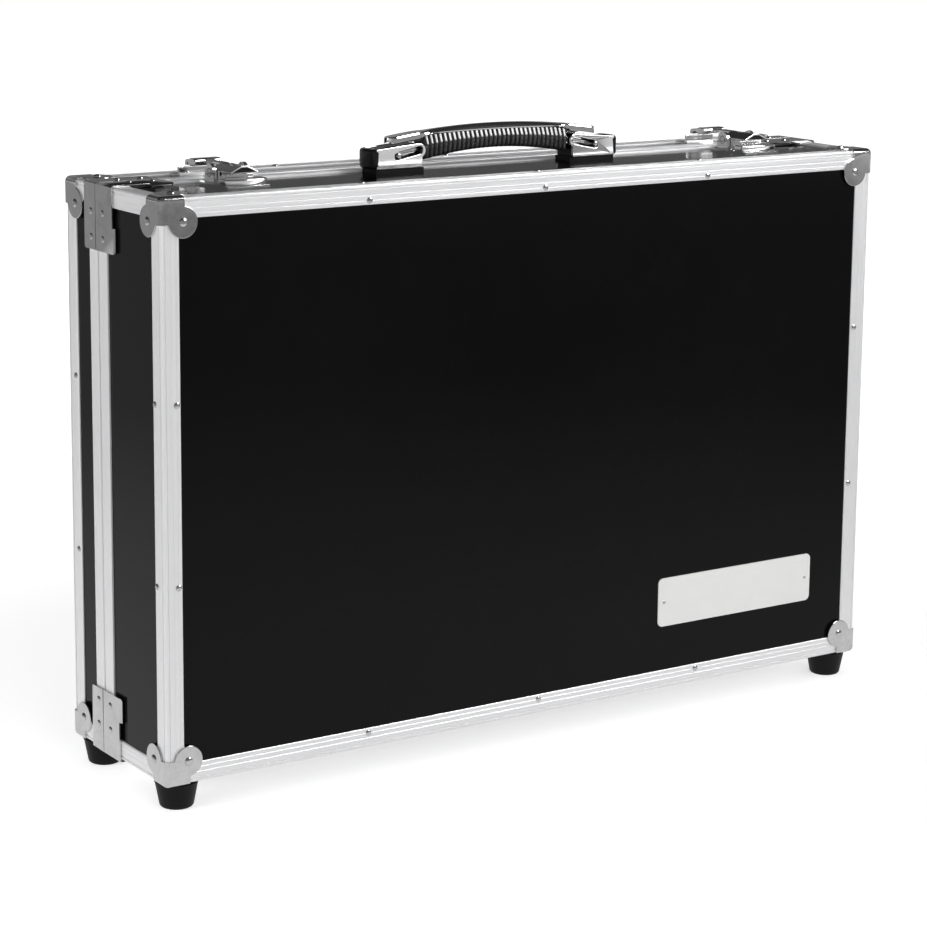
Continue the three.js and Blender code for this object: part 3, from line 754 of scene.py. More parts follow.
# The closure's section in millimetres: distance from the side, depth from the split
CLOSURE_STRIP = [
    *((1.5, -11.5), (0.5, -11.5), (0.1, -11.1)),
    *((0.1, -8.5), (0.3, -8.3), (0.3, -8.0), (0.1, -7.8)),
    *((0.1, -3.6), (0.3, -3.4), (0.3, -3.1), (0.1, -2.9)),
    *((0.1, -0.9), (0.9, -0.1), (1.3, 0)),
]
TONGUE = [(3.6, 0), (3.6, 2.7), (3.9, 3), (5.3, 3), (5.6, 2.7), (5.6, 0)]
GROOVE = [(2.9, 0), (2.9, -2.9), (6.3, -2.9), (6.3, 0)]
CLOSURE_LEG = [(9.7, 0), (9.7, -9), (8.5, -9)]


def closure_profile(half, node, name, lip, web):
    """Strip outside, leg inside, and a tongue or a groove at the split."""
    face, inward, depth = HALVES[half]
    section = CLOSURE_STRIP + lip + CLOSURE_LEG + [(8.5, web), (1.5, web)]
    ring = profiled_ring(name, [(a * MM, face + inward * (depth + d * MM)) for a, d in section])
    place(polish(ring), half, "aluminium", [node])


edge_frame("body")
edge_frame("lid")
closure_profile("body", "body_tongue_profile", "tongue_closure_profile", TONGUE, -1.5)
closure_profile("lid", "lid_groove_profile", "groove_closure_profile", GROOVE, -4.4)


# Three lobed corner caps, modelled once: a in from the side, b from the top, d from the face

CAP_WALL = 1.2 * MM
CAP_PLAY = 0.02 * MM
CAP_REACH = 16 * MM
CAP_BEND = 3.6 * MM
LOBE_RADIUS = 9.8 * MM
LOBE_CENTRE = 14.8 * MM
# Where a lobe's rivet stands and which way it looks: on the face, the side, the top or bottom
LOBE_RIVETS = [
    ((LOBE_CENTRE, LOBE_CENTRE, -CAP_WALL), (0, 0, -1)),
    ((-CAP_WALL, LOBE_CENTRE, LOBE_CENTRE), (-1, 0, 0)),
    ((LOBE_CENTRE, -CAP_WALL, LOBE_CENTRE), (0, -1, 0)),
]


def cap_lobe(axis):
    """A round ear on one face of the corner, its rim rolled over."""
    index = "xyz".index(axis)
    centre = Vector((LOBE_CENTRE,) * 3)
    centre[index] = -CAP_WALL / 2
    lobe = rod("cap_lobe", centre, LOBE_RADIUS, CAP_WALL / 2, axis, 64)

    def on_rim(m):
        return near(m[index], -CAP_WALL) and (m - centre).length > LOBE_RADIUS - 0.2 * MM

    edit(lobe)
    pick_ends(lobe, axis, -1)
    inset(0.45 * MM)
    round_edges(lobe, 0.4 * MM, 3, on_rim)
    return leave(lobe)


def corner_cap_model():
    shell = box("corner_cap_model", (-CAP_WALL,) * 3, (CAP_REACH,) * 3)
    hollow = box("cap_hollow", (CAP_PLAY,) * 3, (CAP_REACH + 4 * MM,) * 3)
    for piece, low, bend, segments in (
        (shell, -CAP_WALL, CAP_BEND, 7),
        (hollow, CAP_PLAY, 1.2 * MM, 3),
    ):
        edit(piece)
        outer = low + 0.01 * MM
        round_edges(piece, bend, segments, lambda m: sum(value < outer for value in m) == 2)
        leave(piece)
    carve(shell, hollow)
    weld(shell, *(cap_lobe(axis) for axis in "xyz"))
    return polish(clear_slivers(shell))


CAP = corner_cap_model()
for half in HALVES:
    for side, level in CORNERS:
        # Under a bottom corner the foot takes the last rivet's place.
        spots = LOBE_RIVETS if level == "top" else LOBE_RIVETS[:2]
        name = f"{half}_{level}_{side}_corner_cap"
        piece = riveted(CAP, name, corner_matrix(half, side, level), CAP_RIVET, spots)
        place(piece, half, "steel", [f"{half}_corner_{level}_{side}"])


# Brackets over the split: a in from the side, b from the top or bottom, e from the split

BRACKET_WALL = 1.4 * MM
BRACKET_LEG = 41 * MM
WING_LENGTH = 16 * MM
WING_WIDTH = 2.6 * MM
WING_DROP = 1.1 * MM
BRACKET_WIDTH = {"body": 22 * MM, "lid": 15.2 * MM}
RIVET_FROM_SPLIT = {"body": 9.5 * MM, "lid": 6 * MM}
BRACKET_RIVETS = (17 * MM, 33 * MM)


def draw_out_wings(piece, width, skin):
    """Draws the legs' ends out past the strip, bent down to the laminate."""
    wing_start = BRACKET_LEG - WING_LENGTH
    for normal in ((0, 1, 0), (1, 0, 0)):
        cut_across(tuple(wing_start * n for n in normal), normal)
    pick_edges(piece, lambda m: near(m.z, width) and max(m) > wing_start + 1 * MM)
    push((0, 0, WING_WIDTH))
    for vertex in bmesh.from_edit_mesh(piece.data).verts:
        if vertex.select:
            vertex.co.x += WING_DROP * near(vertex.co.x, skin)
            vertex.co.y += WING_DROP * near(vertex.co.y, skin)


def bracket_model(half):
    """Bent from one strip: two legs, each with a wing at its end on the body's half."""
    width = BRACKET_WIDTH[half]
    skin = -BRACKET_WALL
    piece = sheet_of(
        "bracket_model",
        [(skin, skin, 0), (skin, BRACKET_LEG, 0), (skin, BRACKET_LEG, width), (skin, skin, width)],
    )
    edit(piece)
    pick_edges(piece, lambda m: near(m.y, skin))
    push((BRACKET_LEG - skin, 0, 0))
    rim = width
    if half == "body":
        draw_out_wings(piece, width, skin)
        rim += WING_WIDTH

    def free_corner(vertex):
        far = max(vertex.co.x, vertex.co.y) > BRACKET_LEG - TOUCH
        return far and vertex.co.z > rim - TOUCH

    pick(piece, "VERT", free_corner)
    bpy.ops.mesh.bevel(offset=2.2 * MM, segments=6, affect="VERTICES")
    round_edges(piece, 1.6 * MM, 5, lambda m: near(m.x, skin) and near(m.y, skin))
    bpy.ops.mesh.select_all(action="SELECT")
    bpy.ops.mesh.dissolve_limited(angle_limit=math.radians(1))
    leave(piece)
    thickness = BRACKET_WALL - 0.03 * MM
    modify(piece, "SOLIDIFY", thickness=thickness, offset=-1, use_even_offset=True)
    soften(piece, 0.3 * MM, 2, 60)
    return polish(piece)


for half in HALVES:
    model = bracket_model(half)
    spots = []
    for reach in BRACKET_RIVETS:
        spots.append(((-BRACKET_WALL, reach, RIVET_FROM_SPLIT[half]), (-1, 0, 0)))
        spots.append(((reach, -BRACKET_WALL, RIVET_FROM_SPLIT[half]), (0, -1, 0)))
    for side, level in CORNERS:
        name = f"{half}_{level}_{side}_split_bracket"
        matrix = corner_matrix(half, side, level, from_split=True)
        piece = riveted(model, name, matrix, BRACKET_RIVET, spots)
        place(piece, half, "steel", [f"{half}_split_bracket_{level}_{side}"])
    discard(model)


# Rubber feet

FOOT_INSET = 14 * MM
FOOT_HEIGHT = FLOOR_OF_CASE - CAP_WALL
FOOT_RADIUS = 10.5 * MM
COLLAR_RADIUS = 13.7 * MM
COLLAR_HEIGHT = 1.6 * MM
RECESS_DEPTH = 7.5 * MM


def foot_model():
    """A tapered rubber buffer: a rounded foot, a deep recess in it, and a collar on top."""
    cone = start(
        "foot_model", "cone", vertices=64, radius1=FOOT_RADIUS, radius2=COLLAR_RADIUS,
        depth=FOOT_HEIGHT, location=(0, 0, FOOT_HEIGHT / 2),
    )
    settle(cone)
    edit(cone)
    round_edges(cone, 2 * MM, 5, lambda m: m.z < TOUCH)
    pick_ends(cone, "z", -1)
    inset(4.3 * MM)
    inset(0.3 * MM, -0.4 * MM)
    push((0, 0, RECESS_DEPTH))
    pick_ends(cone, "z", 1)
    inset(0.1 * MM)
    leave(cone)
    edit(cone)
    cut_across((0, 0, FOOT_HEIGHT - COLLAR_HEIGHT), (0, 0, 1))
    collar = FOOT_HEIGHT - COLLAR_HEIGHT + 0.1 * MM
    pick(cone, "VERT", lambda v: v.co.z > collar and v.co.xy.length > 9 * MM)
    bpy.ops.transform.resize(value=(1.02, 1.02, 1), center_override=(0, 0, FOOT_HEIGHT))
    leave(cone)
    return polish(cone, 40)


FOOT = foot_model()
for half, (face, inward, _) in HALVES.items():
    for side, sign in SIDES.items():
        at = (sign * (WIDTH / 2 - FOOT_INSET), face + inward * FOOT_INSET, 0)
        foot = copy_at(FOOT, f"{half}_{side}_rubber_foot", Matrix.Translation(at))
        place(foot, half, "rubber", [f"{half}_foot_{side}"])


# Name plate, left bare

PLATE_LOW = (100.55 * MM, 62 * MM)
PLATE_HIGH = (237.05 * MM, 96.5 * MM)
PLATE_CORNER = 4 * MM
PLATE_FRONT = FRONT + 0.5 * MM
PLATE_WALL = 1 * MM
PIN_INSET = 5 * MM


def name_plate():
    x0, z0 = PLATE_LOW
    x1, z1 = PLATE_HIGH
    r = PLATE_CORNER
    centres = ((x1 - r, z1 - r), (x0 + r, z1 - r), (x0 + r, z0 + r), (x1 - r, z0 + r))
    rim = []
    for quarter, (x, z) in enumerate(centres):
        rim += arc(x, z, r, 90 * quarter, 90 * quarter + 90, 8)
    back = PLATE_FRONT + PLATE_WALL
    plate = prism("name_plate_blank", [(x, back, z) for x, z in rim], (0, -PLATE_WALL, 0))
    soften(plate, 0.3 * MM, 2, 60)
    edit(plate)
    pick_ends(plate, "y", -1)
    inset(1.1 * MM)
    inset(0.25 * MM, -0.12 * MM)
    leave(plate)
    place(polish(plate), "body", "plate", ["name_plate"])
    pin = rivet_model(1.3 * MM, 0.6 * MM)
    level = (z0 + z1) / 2
    pins = [
        copy_at(pin, "plate_pin", facing((x, PLATE_FRONT + 0.1 * MM, level), (0, -1, 0)))
        for x in (x0 + PIN_INSET, x1 - PIN_INSET)
    ]
    discard(pin)
    place(gather("name_plate_pins", *pins), "body", "steel")


name_plate()


# Handle, in millimetres: u out from the middle, h up from the top, w back

CHEEK_INNER_U = 60.4
CHEEK_OUTER_U = 95.3
CHEEK_OUTER_H = 14.3
CHEEK_SLOPE = (17.0 - CHEEK_OUTER_H) / 37.6
CHEEK_HALF = 9.5
CHEEK_LEAN = math.tan(math.radians(0.6))
BODY_HALF = 7.9
END_BULGE = 4.7
PAD_TOP = 1.4
NOSE = (62.5, 12.2)
NOSE_RADIUS = 4.8
STUD = (79.0, 9.3)
STUD_RADIUS = 2.1
STUD_HALF = 10.7
SLOT_INNER = (62.5, 12.5)
SLOT_RADIUS = 2.55
SLOT_TURN = math.atan2(SLOT_INNER[1] - STUD[1], STUD[0] - SLOT_INNER[0])
SLOT_LENGTH = math.hypot(STUD[0] - SLOT_INNER[0], SLOT_INNER[1] - STUD[1])
STRAP_REACH = 31
STRAP_HALF = 4.6
HANDLE_LIFT = 5
GRIP_HALF = 57.0
GRIP_SPAN = 16.5
COVER_HALF = 82.0
COVER_SPAN = 13.0
COVER_WALL = 0.6
COVER_ROLL = 2.9
COVER_ROLL_REACH = 66.0
COVER_END = 4.5
COVER_TIP = 0.45
# The strip's bent side near its ends: place across when flat, place across when bent, drop
COVER_SIDE = (
    (0, 0, 0), (3.2, 3.4, 0.05), (4.2, 4.8, 0.15), (5.0, 5.8, 0.45),
    (5.8, 6.35, 1.3), (6.15, 6.5, 2.7), (6.5, 6.55, 4.2),
)
COVER_SIDE_FROM = 50.0
COVER_SIDE_FULL = 62.0
UPRIGHT_DROP = 1.3


def plate_between(name, points, w0, w1):
    """(u, h) points drawn out from w0 to w1."""
    return prism(name, in_mm([(u, h, w0) for u, h in points]), (0, 0, (w1 - w0) * MM))


def slab(name, points, half):
    return plate_between(name, points, -half, half)


def stadium(start_at, end_at, radius):
    heading = math.degrees(math.atan2(end_at[1] - start_at[1], end_at[0] - start_at[0]))
    return [
        *arc(*end_at, radius, heading - 90, heading + 90, 8),
        *arc(*start_at, radius, heading + 90, heading + 270, 8),
    ]


def along_slot(reach, rise):
    c, s = math.cos(SLOT_TURN), math.sin(SLOT_TURN)
    return (STUD[0] - reach * c + rise * s, STUD[1] + reach * s + rise * c)


def slot_bar(name, reach, rise, half):
    """A square bar that runs the way the slot does."""
    (r0, r1), (h0, h1) = reach, rise
    return slab(name, [along_slot(*at) for at in ((r0, h0), (r1, h0), (r1, h1), (r0, h1))], half)


def cheek_top(u):
    return CHEEK_OUTER_H + CHEEK_SLOPE * (CHEEK_OUTER_U - u)


def cheek_outline(margin=0.0):
    """The bracket's side in (u, h): straight foot, outer end, rising top, rounded nose."""
    nose = arc(*NOSE, NOSE_RADIUS - margin, 86, 240, 10)
    outer, top = CHEEK_OUTER_U - margin, CHEEK_OUTER_H - margin
    return [(CHEEK_INNER_U + margin, PAD_TOP), (outer, PAD_TOP), (outer, top), *nose]


def handle_bracket_body_model():
    """The bracket's black moulding, rounded at its outer end, with a channel for the strap."""
    body = slab("handle_bracket_body", cheek_outline(0.3), BODY_HALF)
    turns = [math.radians(step) for step in range(-90, 91, 10)]
    bulge = [
        *((CHEEK_OUTER_U - 3, CHEEK_HALF), (CHEEK_OUTER_U - 3, -CHEEK_HALF)),
        *((CHEEK_OUTER_U + END_BULGE * math.cos(t), CHEEK_HALF * math.sin(t)) for t in turns),
    ]
    rise = CHEEK_OUTER_H + 0.2 - PAD_TOP
    end = prism("bracket_end", in_mm([(u, PAD_TOP, w) for u, w in bulge]), (0, rise * MM, 0))
    soften(end, 2.2 * MM, 5, 40)
    weld(body, end)
    carve(body, slot_bar("strap_channel", (-7, STRAP_REACH + 1), (-2.4, 2.4), 5.6))
    carve(body, slab("bracket_slot", stadium(STUD, SLOT_INNER, SLOT_RADIUS + 0.5), 10))
    soften(body, 0.3 * MM, 2, 60)
    return polish(clear_slivers(body))


def handle_cheeks_model():
    """Two pressed chrome cheeks that lean in a little, with the stud's sloping slot."""
    cheeks = []
    for sign in (-1, 1):
        low, high = sorted((sign * BODY_HALF, sign * CHEEK_HALF))
        cheek = plate_between("handle_cheek", cheek_outline(), low, high)
        carve(cheek, slab("cheek_slot", stadium(STUD, SLOT_INNER, SLOT_RADIUS), 12))
        soften(cheek, 0.45 * MM, 3, 60)
        for vertex in cheek.data.vertices:
            if abs(vertex.co.z) > (BODY_HALF + 0.3) * MM:
                vertex.co.z -= sign * (vertex.co.y - PAD_TOP * MM) * CHEEK_LEAN
        cheeks.append(cheek)
    return polish(gather("handle_cheeks_model", *cheeks))


def strap_end_model():
    """The strap's flat end, and the stud with its two turned heads."""
    strap = slot_bar("strap_end_model", (-6, STRAP_REACH), (-1.8, 1.8), STRAP_HALF)
    soften(strap, 0.5 * MM, 2)
    stud = rod("stud", at_mm(*STUD, 0), STUD_RADIUS * MM, STUD_HALF * MM, "z", 32)
    edit(stud)
    round_edges(stud, 1.15 * MM, 5, lambda m: near(abs(m.z), STUD_HALF * MM))
    leave(stud)
    weld(strap, stud)
    return polish(strap)


def cover_top(u):
    return 27.2 - 6 * (u / COVER_HALF) ** 2


def grip_underside(u):
    return 10.8 - 6 * (u / GRIP_HALF) ** 2


def grip_crown(u):
    """The rubber's top, just under the chrome strip."""
    return cover_top(u) - 1.1


def grip_ridge(u):
    """Height of the rubber's widest line."""
    return 18.4 - 3.2 * (u / 54) ** 2


RIBS = 32
# How far a rib stands out, at places along its pitch
RIB_SHAPE = ((0.20, 0.99), (0.33, 0.965), (0.43, 0.91), (0.5, 0.86))
RIB_MATCH = 0.01


def grip_section(u):
    """Half the rubber's section in (w, h), from the crown round the ridge to the underside."""
    top, ridge, under = grip_crown(u), grip_ridge(u), grip_underside(u)
    crown = [(0, top), (4.4, top - 0.2), (5.6, top - 1.2)]
    widest = [(GRIP_SPAN / 2, ridge + 0.4), (GRIP_SPAN / 2, ridge - 0.6)]
    below = [(7.3, under + 2.2), (5.9, under + 0.5), (3.5, under), (0, under)]
    return [Vector(at) for at in crown + widest + below]


def along(line, share):
    """The place at a share of a broken line's length."""
    lengths = [(b - a).length for a, b in zip(line, line[1:])]
    left = share * sum(lengths)
    for a, b, length in zip(line, line[1:], lengths):
        if left <= length:
            return a.lerp(b, left / length)
        left -= length
    return line[-1].copy()


def ribbed_tube(name):
    """One rib of radius 1, repeated along the grip."""
    pitch = 2 * GRIP_HALF / RIBS
    first = -GRIP_HALF + pitch / 2
    tube = start(
        name, "cylinder", vertices=48, radius=1, depth=pitch,
        location=(first, 0, 0), rotation=(0, QUARTER_TURN, 0), end_fill_type="NOTHING",
    )
    settle(tube)
    edit(tube)
    for offset, _ in RIB_SHAPE[:-1]:
        for side in (-1, 1):
            cut_across((first + side * offset * pitch, 0, 0), (1, 0, 0))
    for offset, radius in RIB_SHAPE:
        pick(tube, "VERT", lambda v: abs(abs(v.co.x - first) - offset * pitch) < RIB_MATCH)
        bpy.ops.transform.resize(value=(1, radius, radius), center_override=(first, 0, 0))
    leave(tube)
    return modify(
        tube, "ARRAY", count=RIBS,
        use_relative_offset=False, use_constant_offset=True, constant_offset_displace=(pitch, 0, 0),
        use_merge_vertices=True, merge_threshold=RIB_MATCH,
    )


def grip():
    """The ribs drawn out to a section with a slanted shoulder, and hollowed for the strap."""
    body = ribbed_tube("handle_grip_rubber")
    for vertex in body.data.vertices:
        u, across, up = vertex.co
        line = grip_section(u)
        centre = (line[0] + line[-1]) / 2
        at = along(line, math.atan2(abs(across), up) / math.pi)
        taper = 1 - 0.05 * (abs(u) / GRIP_HALF) ** 6
        at = centre + (at - centre) * math.hypot(across, up) * taper
        w = math.copysign(at.x, across)
        vertex.co = (u * MM, HANDLE_Y + w * MM, TOP_OF_CASE + at.y * MM)
    edit(body)
    for side in (-1, 1):
        pick(body, "VERT", lambda v: near(v.co.x, side * GRIP_HALF * MM))
        bpy.ops.mesh.edge_face_add()
        inset(0.8 * MM, 0.3 * MM)
    leave(body)
    reach = (STUD[0] - GRIP_HALF - 3, STRAP_REACH + SLOT_LENGTH + 0.5)
    rise = (-2.2 - HANDLE_LIFT * math.cos(SLOT_TURN), 2.2)
    for side in SIDES:
        pocket = slot_bar("grip_pocket", reach, rise, 5.0)
        pocket.data.transform(handle_matrix(side))
        edit(pocket)
        leave(pocket)
        carve(body, pocket)
    place(polish(body, 40), "handle", "grip", ["handle_grip"])


def bent_side(w):
    """Where a place across the flat strip comes to, and its drop, where the sides are bent."""
    for (w0, out0, drop0), (w1, out1, drop1) in zip(COVER_SIDE, COVER_SIDE[1:]):
        if abs(w) <= w1 + TOUCH:
            share = (abs(w) - w0) / (w1 - w0)
            return math.copysign(out0 + (out1 - out0) * share, w), drop0 + (drop1 - drop0) * share
    return w, COVER_SIDE[-1][2]


def cover_strip():
    """The chrome strip over the grip: arched along its length, a little crowned, round ends."""
    size = (2 * COVER_HALF, COVER_SPAN, COVER_WALL)
    strip = start("handle_chrome_strip", "cube", size=1, scale=size)
    settle(strip)
    edit(strip)
    cuts = [COVER_HALF * (-0.95 + 1.9 * i / 38) for i in range(39)]
    ends = [COVER_HALF - 0.6 * i for i in range(1, 8)]
    for u in sorted({round(c, 3) for c in cuts + ends + [-e for e in ends]}):
        cut_across((u, 0, 0), (1, 0, 0))
    for w in (-6.15, -5.8, -5, -4.2, -3.2, -2, -1, 0, 1, 2, 3.2, 4.2, 5, 5.8, 6.15):
        cut_across((0, w, 0), (0, 1, 0))
    leave(strip)
    for vertex in strip.data.vertices:
        u, w, h = vertex.co
        into_end = max(0, abs(u) - (COVER_HALF - COVER_END)) / COVER_END
        narrowing = COVER_TIP + (1 - COVER_TIP) * math.sqrt(max(0, 1 - into_end**2))
        rolled = 0.3 + COVER_ROLL * max(0, 1 - (u / COVER_ROLL_REACH) ** 2) ** 0.8
        drop = rolled * abs(w / (COVER_SPAN / 2)) ** 2
        bent = min(1, max(0, (abs(u) - COVER_SIDE_FROM) / (COVER_SIDE_FULL - COVER_SIDE_FROM)))
        bent = bent * bent * (3 - 2 * bent)
        bent_w, bent_drop = bent_side(w)
        if h < 0:
            bent_w -= math.copysign(COVER_WALL * min(1, bent_drop / UPRIGHT_DROP), w)
        w += (bent_w - w) * bent
        drop += (bent_drop - drop) * bent
        top = cover_top(u) - COVER_WALL / 2
        vertex.co = (u * MM, HANDLE_Y + w * narrowing * MM, TOP_OF_CASE + (top + h - drop) * MM)
    place(polish(strip, 20), "handle", "chrome", ["handle_cover_strip"])


def rubber_tail_model():
    """The rubber's thin end under the strip, clear of the bracket below."""
    top = [(u, cover_top(u) - 1.5) for u in (56.6, 61, 66, 70)]
    under = [(u, cheek_top(u) + clear) for u, clear in ((72, 2.6), (66, 1.2), (56.6, 1))]
    tail = slab("rubber_tail_model", top + under, STRAP_HALF)
    soften(tail, 0.6 * MM, 3)
    return polish(tail)


# Model, name, body, slot, node, and a material where it isn't the slot's own
HANDLE_ENDS = [
    (
        handle_cheeks_model(), "handle_bracket_cheeks",
        "body", "chrome", "handle_bracket_{}", None,
    ),
    (handle_bracket_body_model(), "handle_bracket_moulding", "body", "rubber", None, MOULDED),
    (strap_end_model(), "handle_strap_end", "slider_{}", "steel", "handle_slider_{}", None),
    (rubber_tail_model(), "handle_rubber_tail", "handle", "grip", None, None),
]
fit_pairs(HANDLE_ENDS, handle_matrix)
grip()
cover_strip()


# Latches, in millimetres: s back from the split, h up from the top, w across

LATCH_FOOT = -1.5
PLATE_BEND = 5
ROOF_HALF = 2.2
PIVOT = (-28.0, 6.5)
BORE_RADIUS = 2.75
EAR_IN = 10.4
EAR_OUT = 12.6
EAR_RADIUS = 5.5
BASE_HALF = 15.0
LEVER_HALF = 10.0
LEVER_WALL = 1.8
MOUTH_HALF = 8.7
NECK_SLOT = 3.4
HOOK_PIN = (-38.0, 6.5)
KNUCKLE_HALF = 6.4
ARM_HALF = 2.8
HOOD_HALF = 9.7
TONGUE_HALF = 5.0
KEEPER_HALF = 12.0


def upright_block(s0, s1, low, high):
    return [(s0, low), (s1, low), (s1, high), (s0, high)]


def round_plate_end(plate, top, beyond):
    """Rounds the upright edges of a plate that lie beyond a place along s."""
    middle = (LATCH_FOOT + top) / 2 * MM
    edit(plate)
    round_edges(
        plate, PLATE_BEND * MM, 6, lambda m: near(m.y, middle) and m.x > beyond * MM
    )
    leave(plate)


def latch_base_model():
    """The plate with its front block, and two ears that carry the lever."""
    top = 0.3
    base = slab("latch_base_model", upright_block(-56, -14, LATCH_FOOT, top), BASE_HALF)
    round_plate_end(base, top, -15)
    bow = [(-56 + 3.4 * (w / BASE_HALF) ** 2, w) for w in range(-15, 16, 3)]
    outline = [(-44, BASE_HALF), (-44, -BASE_HALF), *bow]
    block = prism(
        "latch_block", in_mm([(s, LATCH_FOOT, w) for s, w in outline]), (0, 5.9 * MM, 0)
    )
    soften(block, 0.9 * MM, 3, 40)
    s, h = PIVOT
    ear = [(s + 6.4, LATCH_FOOT), *arc(s, h, EAR_RADIUS, 0, 180, 16), (s - 6.4, LATCH_FOOT)]
    ears = [
        plate_between("latch_ear", ear, -EAR_OUT, -EAR_IN),
        plate_between("latch_ear", ear, EAR_IN, EAR_OUT),
    ]
    weld(base, block, *ears)
    carve(base, rod("bore", at_mm(*PIVOT, 0), BORE_RADIUS * MM, 20 * MM, "z", 24))
    soften(base, 0.45 * MM, 3, 40)
    screw = rivet_model(1.9 * MM, 0.8 * MM)
    heads = [
        copy_at(screw, "screw", facing(at_mm(s, 0.2, w), (0, 1, 0)))
        for s, w in ((-18.5, 9.8), (-18.5, -9.8), (-40, 12.6), (-40, -12.6))
    ]
    discard(screw)
    return polish(gather("latch_base_model", base, *heads))


def arched(piece, half, shoulder, crown, s0, s1):
    """Cuts a piece to a roof that is flat in the middle and slopes to both sides."""
    under = [(-8, -half), (-8, half)]
    roof = [(shoulder, half), (crown, ROOF_HALF), (crown, -ROOF_HALF), (shoulder, -half)]
    section = in_mm([(s0, h, w) for h, w in under + roof])
    return combine(piece, prism("arch", section, ((s1 - s0) * MM, 0, 0)), "INTERSECT")


def latch_lever_model():
    """An arched lever: open nose, a slot for the hook, a front wall, a trunnion in the ears."""
    s, h = PIVOT
    under_nose = [(-50, 7.75), (-44, 6.9), (-43.4, 6.6), (-43.4, 2.7), (-40.6, 2.7)]
    over_heel = [*arc(s, h, 5, 270, 360, 8), (-25.4, 12.6), (-50, 12.6)]
    lever = slab("latch_lever_model", under_nose + over_heel, LEVER_HALF)
    arched(lever, LEVER_HALF + 0.05, 8.4, 12.2, -52, -20)
    soften(lever, 0.7 * MM, 3, 20)
    inner = LEVER_HALF - LEVER_WALL
    hollow = slab("lever_hollow", upright_block(-42.2, -21, LATCH_FOOT, 14), inner)
    arched(hollow, inner + 0.05, 8.1, 10.8, -44, -19)
    mouth = slab("lever_mouth", upright_block(-52, -44.6, 5, 14), MOUTH_HALF)
    arched(mouth, MOUTH_HALF + 0.05, 7.8, 11.0, -53, -43)
    carve(lever, hollow, mouth)
    carve(lever, box("lever_slot", at_mm(-41.5, 5, -NECK_SLOT), at_mm(-19, 14, NECK_SLOT)))
    soften(lever, 0.25 * MM, 2, 60)
    inside_wall = LEVER_HALF - 1
    for sign in (-1, 1):
        centre = at_mm(s, h, sign * (EAR_OUT + inside_wall) / 2)
        half_length = (EAR_OUT - inside_wall) / 2 * MM
        weld(lever, rod("trunnion", centre, 2.4 * MM, half_length, "z", 28))
    return polish(clear_slivers(lever))


def lever_buffer_model():
    """Painted shade: a black block that fills the lever's open nose and stands in for the shadow
    inside its mouth.
    """
    painted_shade_block = slab("lever_buffer_model", upright_block(-49.3, -44.4, 7.95, 14), MOUTH_HALF)
    arched(painted_shade_block, MOUTH_HALF + 0.1, 7.9, 11.1, -51, -43)
    soften(painted_shade_block, 0.2 * MM, 2, 60)
    return polish(painted_shade_block)


def latch_hook_model():
    """A knuckle on the lever's pin, a narrow arm, a rounded hood, and a tongue with its nose."""
    pin = at_mm(*HOOK_PIN, 0)
    knuckle = rod("latch_hook_model", pin, 2.6 * MM, KNUCKLE_HALF * MM, "z", 28)
    under_arm = [(-38, 5.2), (-31, 5.2), (-26, 9.4), (-4, 9.4)]
    over_arm = [(-4, 12), (-26, 12), (-31, 7.6), (-38, 7.6)]
    arm = slab("hook_arm", under_arm + over_arm, ARM_HALF)
    soften(arm, 0.8 * MM, 3, 30)
    under_hood = [(-3.6, 7.4), (4.0, 7.4), (6.0, 9.2)]
    over_hood = [(5.2, 11.4), (3.0, 12.4), (-2.2, 12.4), (-3.6, 10.9)]
    hood = slab("hook_hood", under_hood + over_hood, HOOD_HALF)
    soften(hood, 0.9 * MM, 3, 25)
    under_tongue = [(2, 8.6), (15.8, 8.6), (15.8, 6.4), (18.2, 6.4)]
    over_tongue = [(18.6, 7.4), (18.0, 9.2), (16.8, 10.1), (2, 10.4)]
    tongue = slab("hook_tongue", under_tongue + over_tongue, TONGUE_HALF)
    weld(knuckle, arm, hood, tongue)
    carve(knuckle, rod("bore", pin, 1.75 * MM, 10 * MM, "z", 24))
    soften(knuckle, 0.3 * MM, 2, 60)
    return polish(knuckle)


def latch_keeper_model():
    """The plate on the lid, and the lip that the nose drops behind."""
    top = 0.5
    keeper = slab("latch_keeper_model", upright_block(12.4, 29.5, LATCH_FOOT, top), KEEPER_HALF)
    round_plate_end(keeper, top, 29)
    lip = [(13, LATCH_FOOT), (15.4, LATCH_FOOT), (15.4, 5.5), (14.9, 6), (13.5, 6), (13, 5)]
    weld(keeper, slab("keeper_lip", lip, KEEPER_HALF))
    soften(keeper, 0.35 * MM, 2, 50)
    head = copy_at(CAP_RIVET, "keeper_rivet", facing(at_mm(23, 0.5, 0), (0, 1, 0)))
    return polish(gather("latch_keeper_model", keeper, head))


LATCH_PARTS = [
    (latch_base_model(), "latch_base_chrome", "body", "chrome", "latch_base_{}", None),
    (latch_lever_model(), "latch_lever_chrome", "lever_{}", "chrome", "latch_lever_{}", None),
    (latch_hook_model(), "latch_hook_chrome", "hook_{}", "chrome", "latch_hook_{}", None),
    (latch_keeper_model(), "latch_keeper_chrome", "lid", "chrome", "latch_keeper_{}", None),
    # The black block in the lever's nose is painted shade for the shadow inside the lever's mouth.
    (lever_buffer_model(), "latch_lever_buffer", "lever_{}", "rubber", None, None),
]
fit_pairs(LATCH_PARTS, latch_matrix)
discard(FRAME_RIVET, CAP_RIVET, BRACKET_RIVET, CAP, FOOT)


# Inside: foam lining, lid pad and carpet

LINING_INSET = 8.8
LINING_WALL = 6.0
LINING_FROM_FACE = (18.1, 74.3)
LINING_CROWN = 1.6
PAD_FRONT = 43.2 * MM
PAD_BACK = 57.2 * MM
PAD_SKIN = 0.3 * MM
PAD_RIM = 3 * MM
PAD_RISE = 9 * MM
PAD_EDGE = 2.5 * MM
PEAK_PITCH = 22 * MM
PEAK_HEIGHT = 5.5 * MM
CARPET_INSET = 9.5 * MM
CARPET_FROM_FACE = (15.8, 17.8)
CARPET_ROLL = 0.8 * MM
CARPET_ROLL_REACH = 2 * MM
LOOP_HEIGHT = 0.25


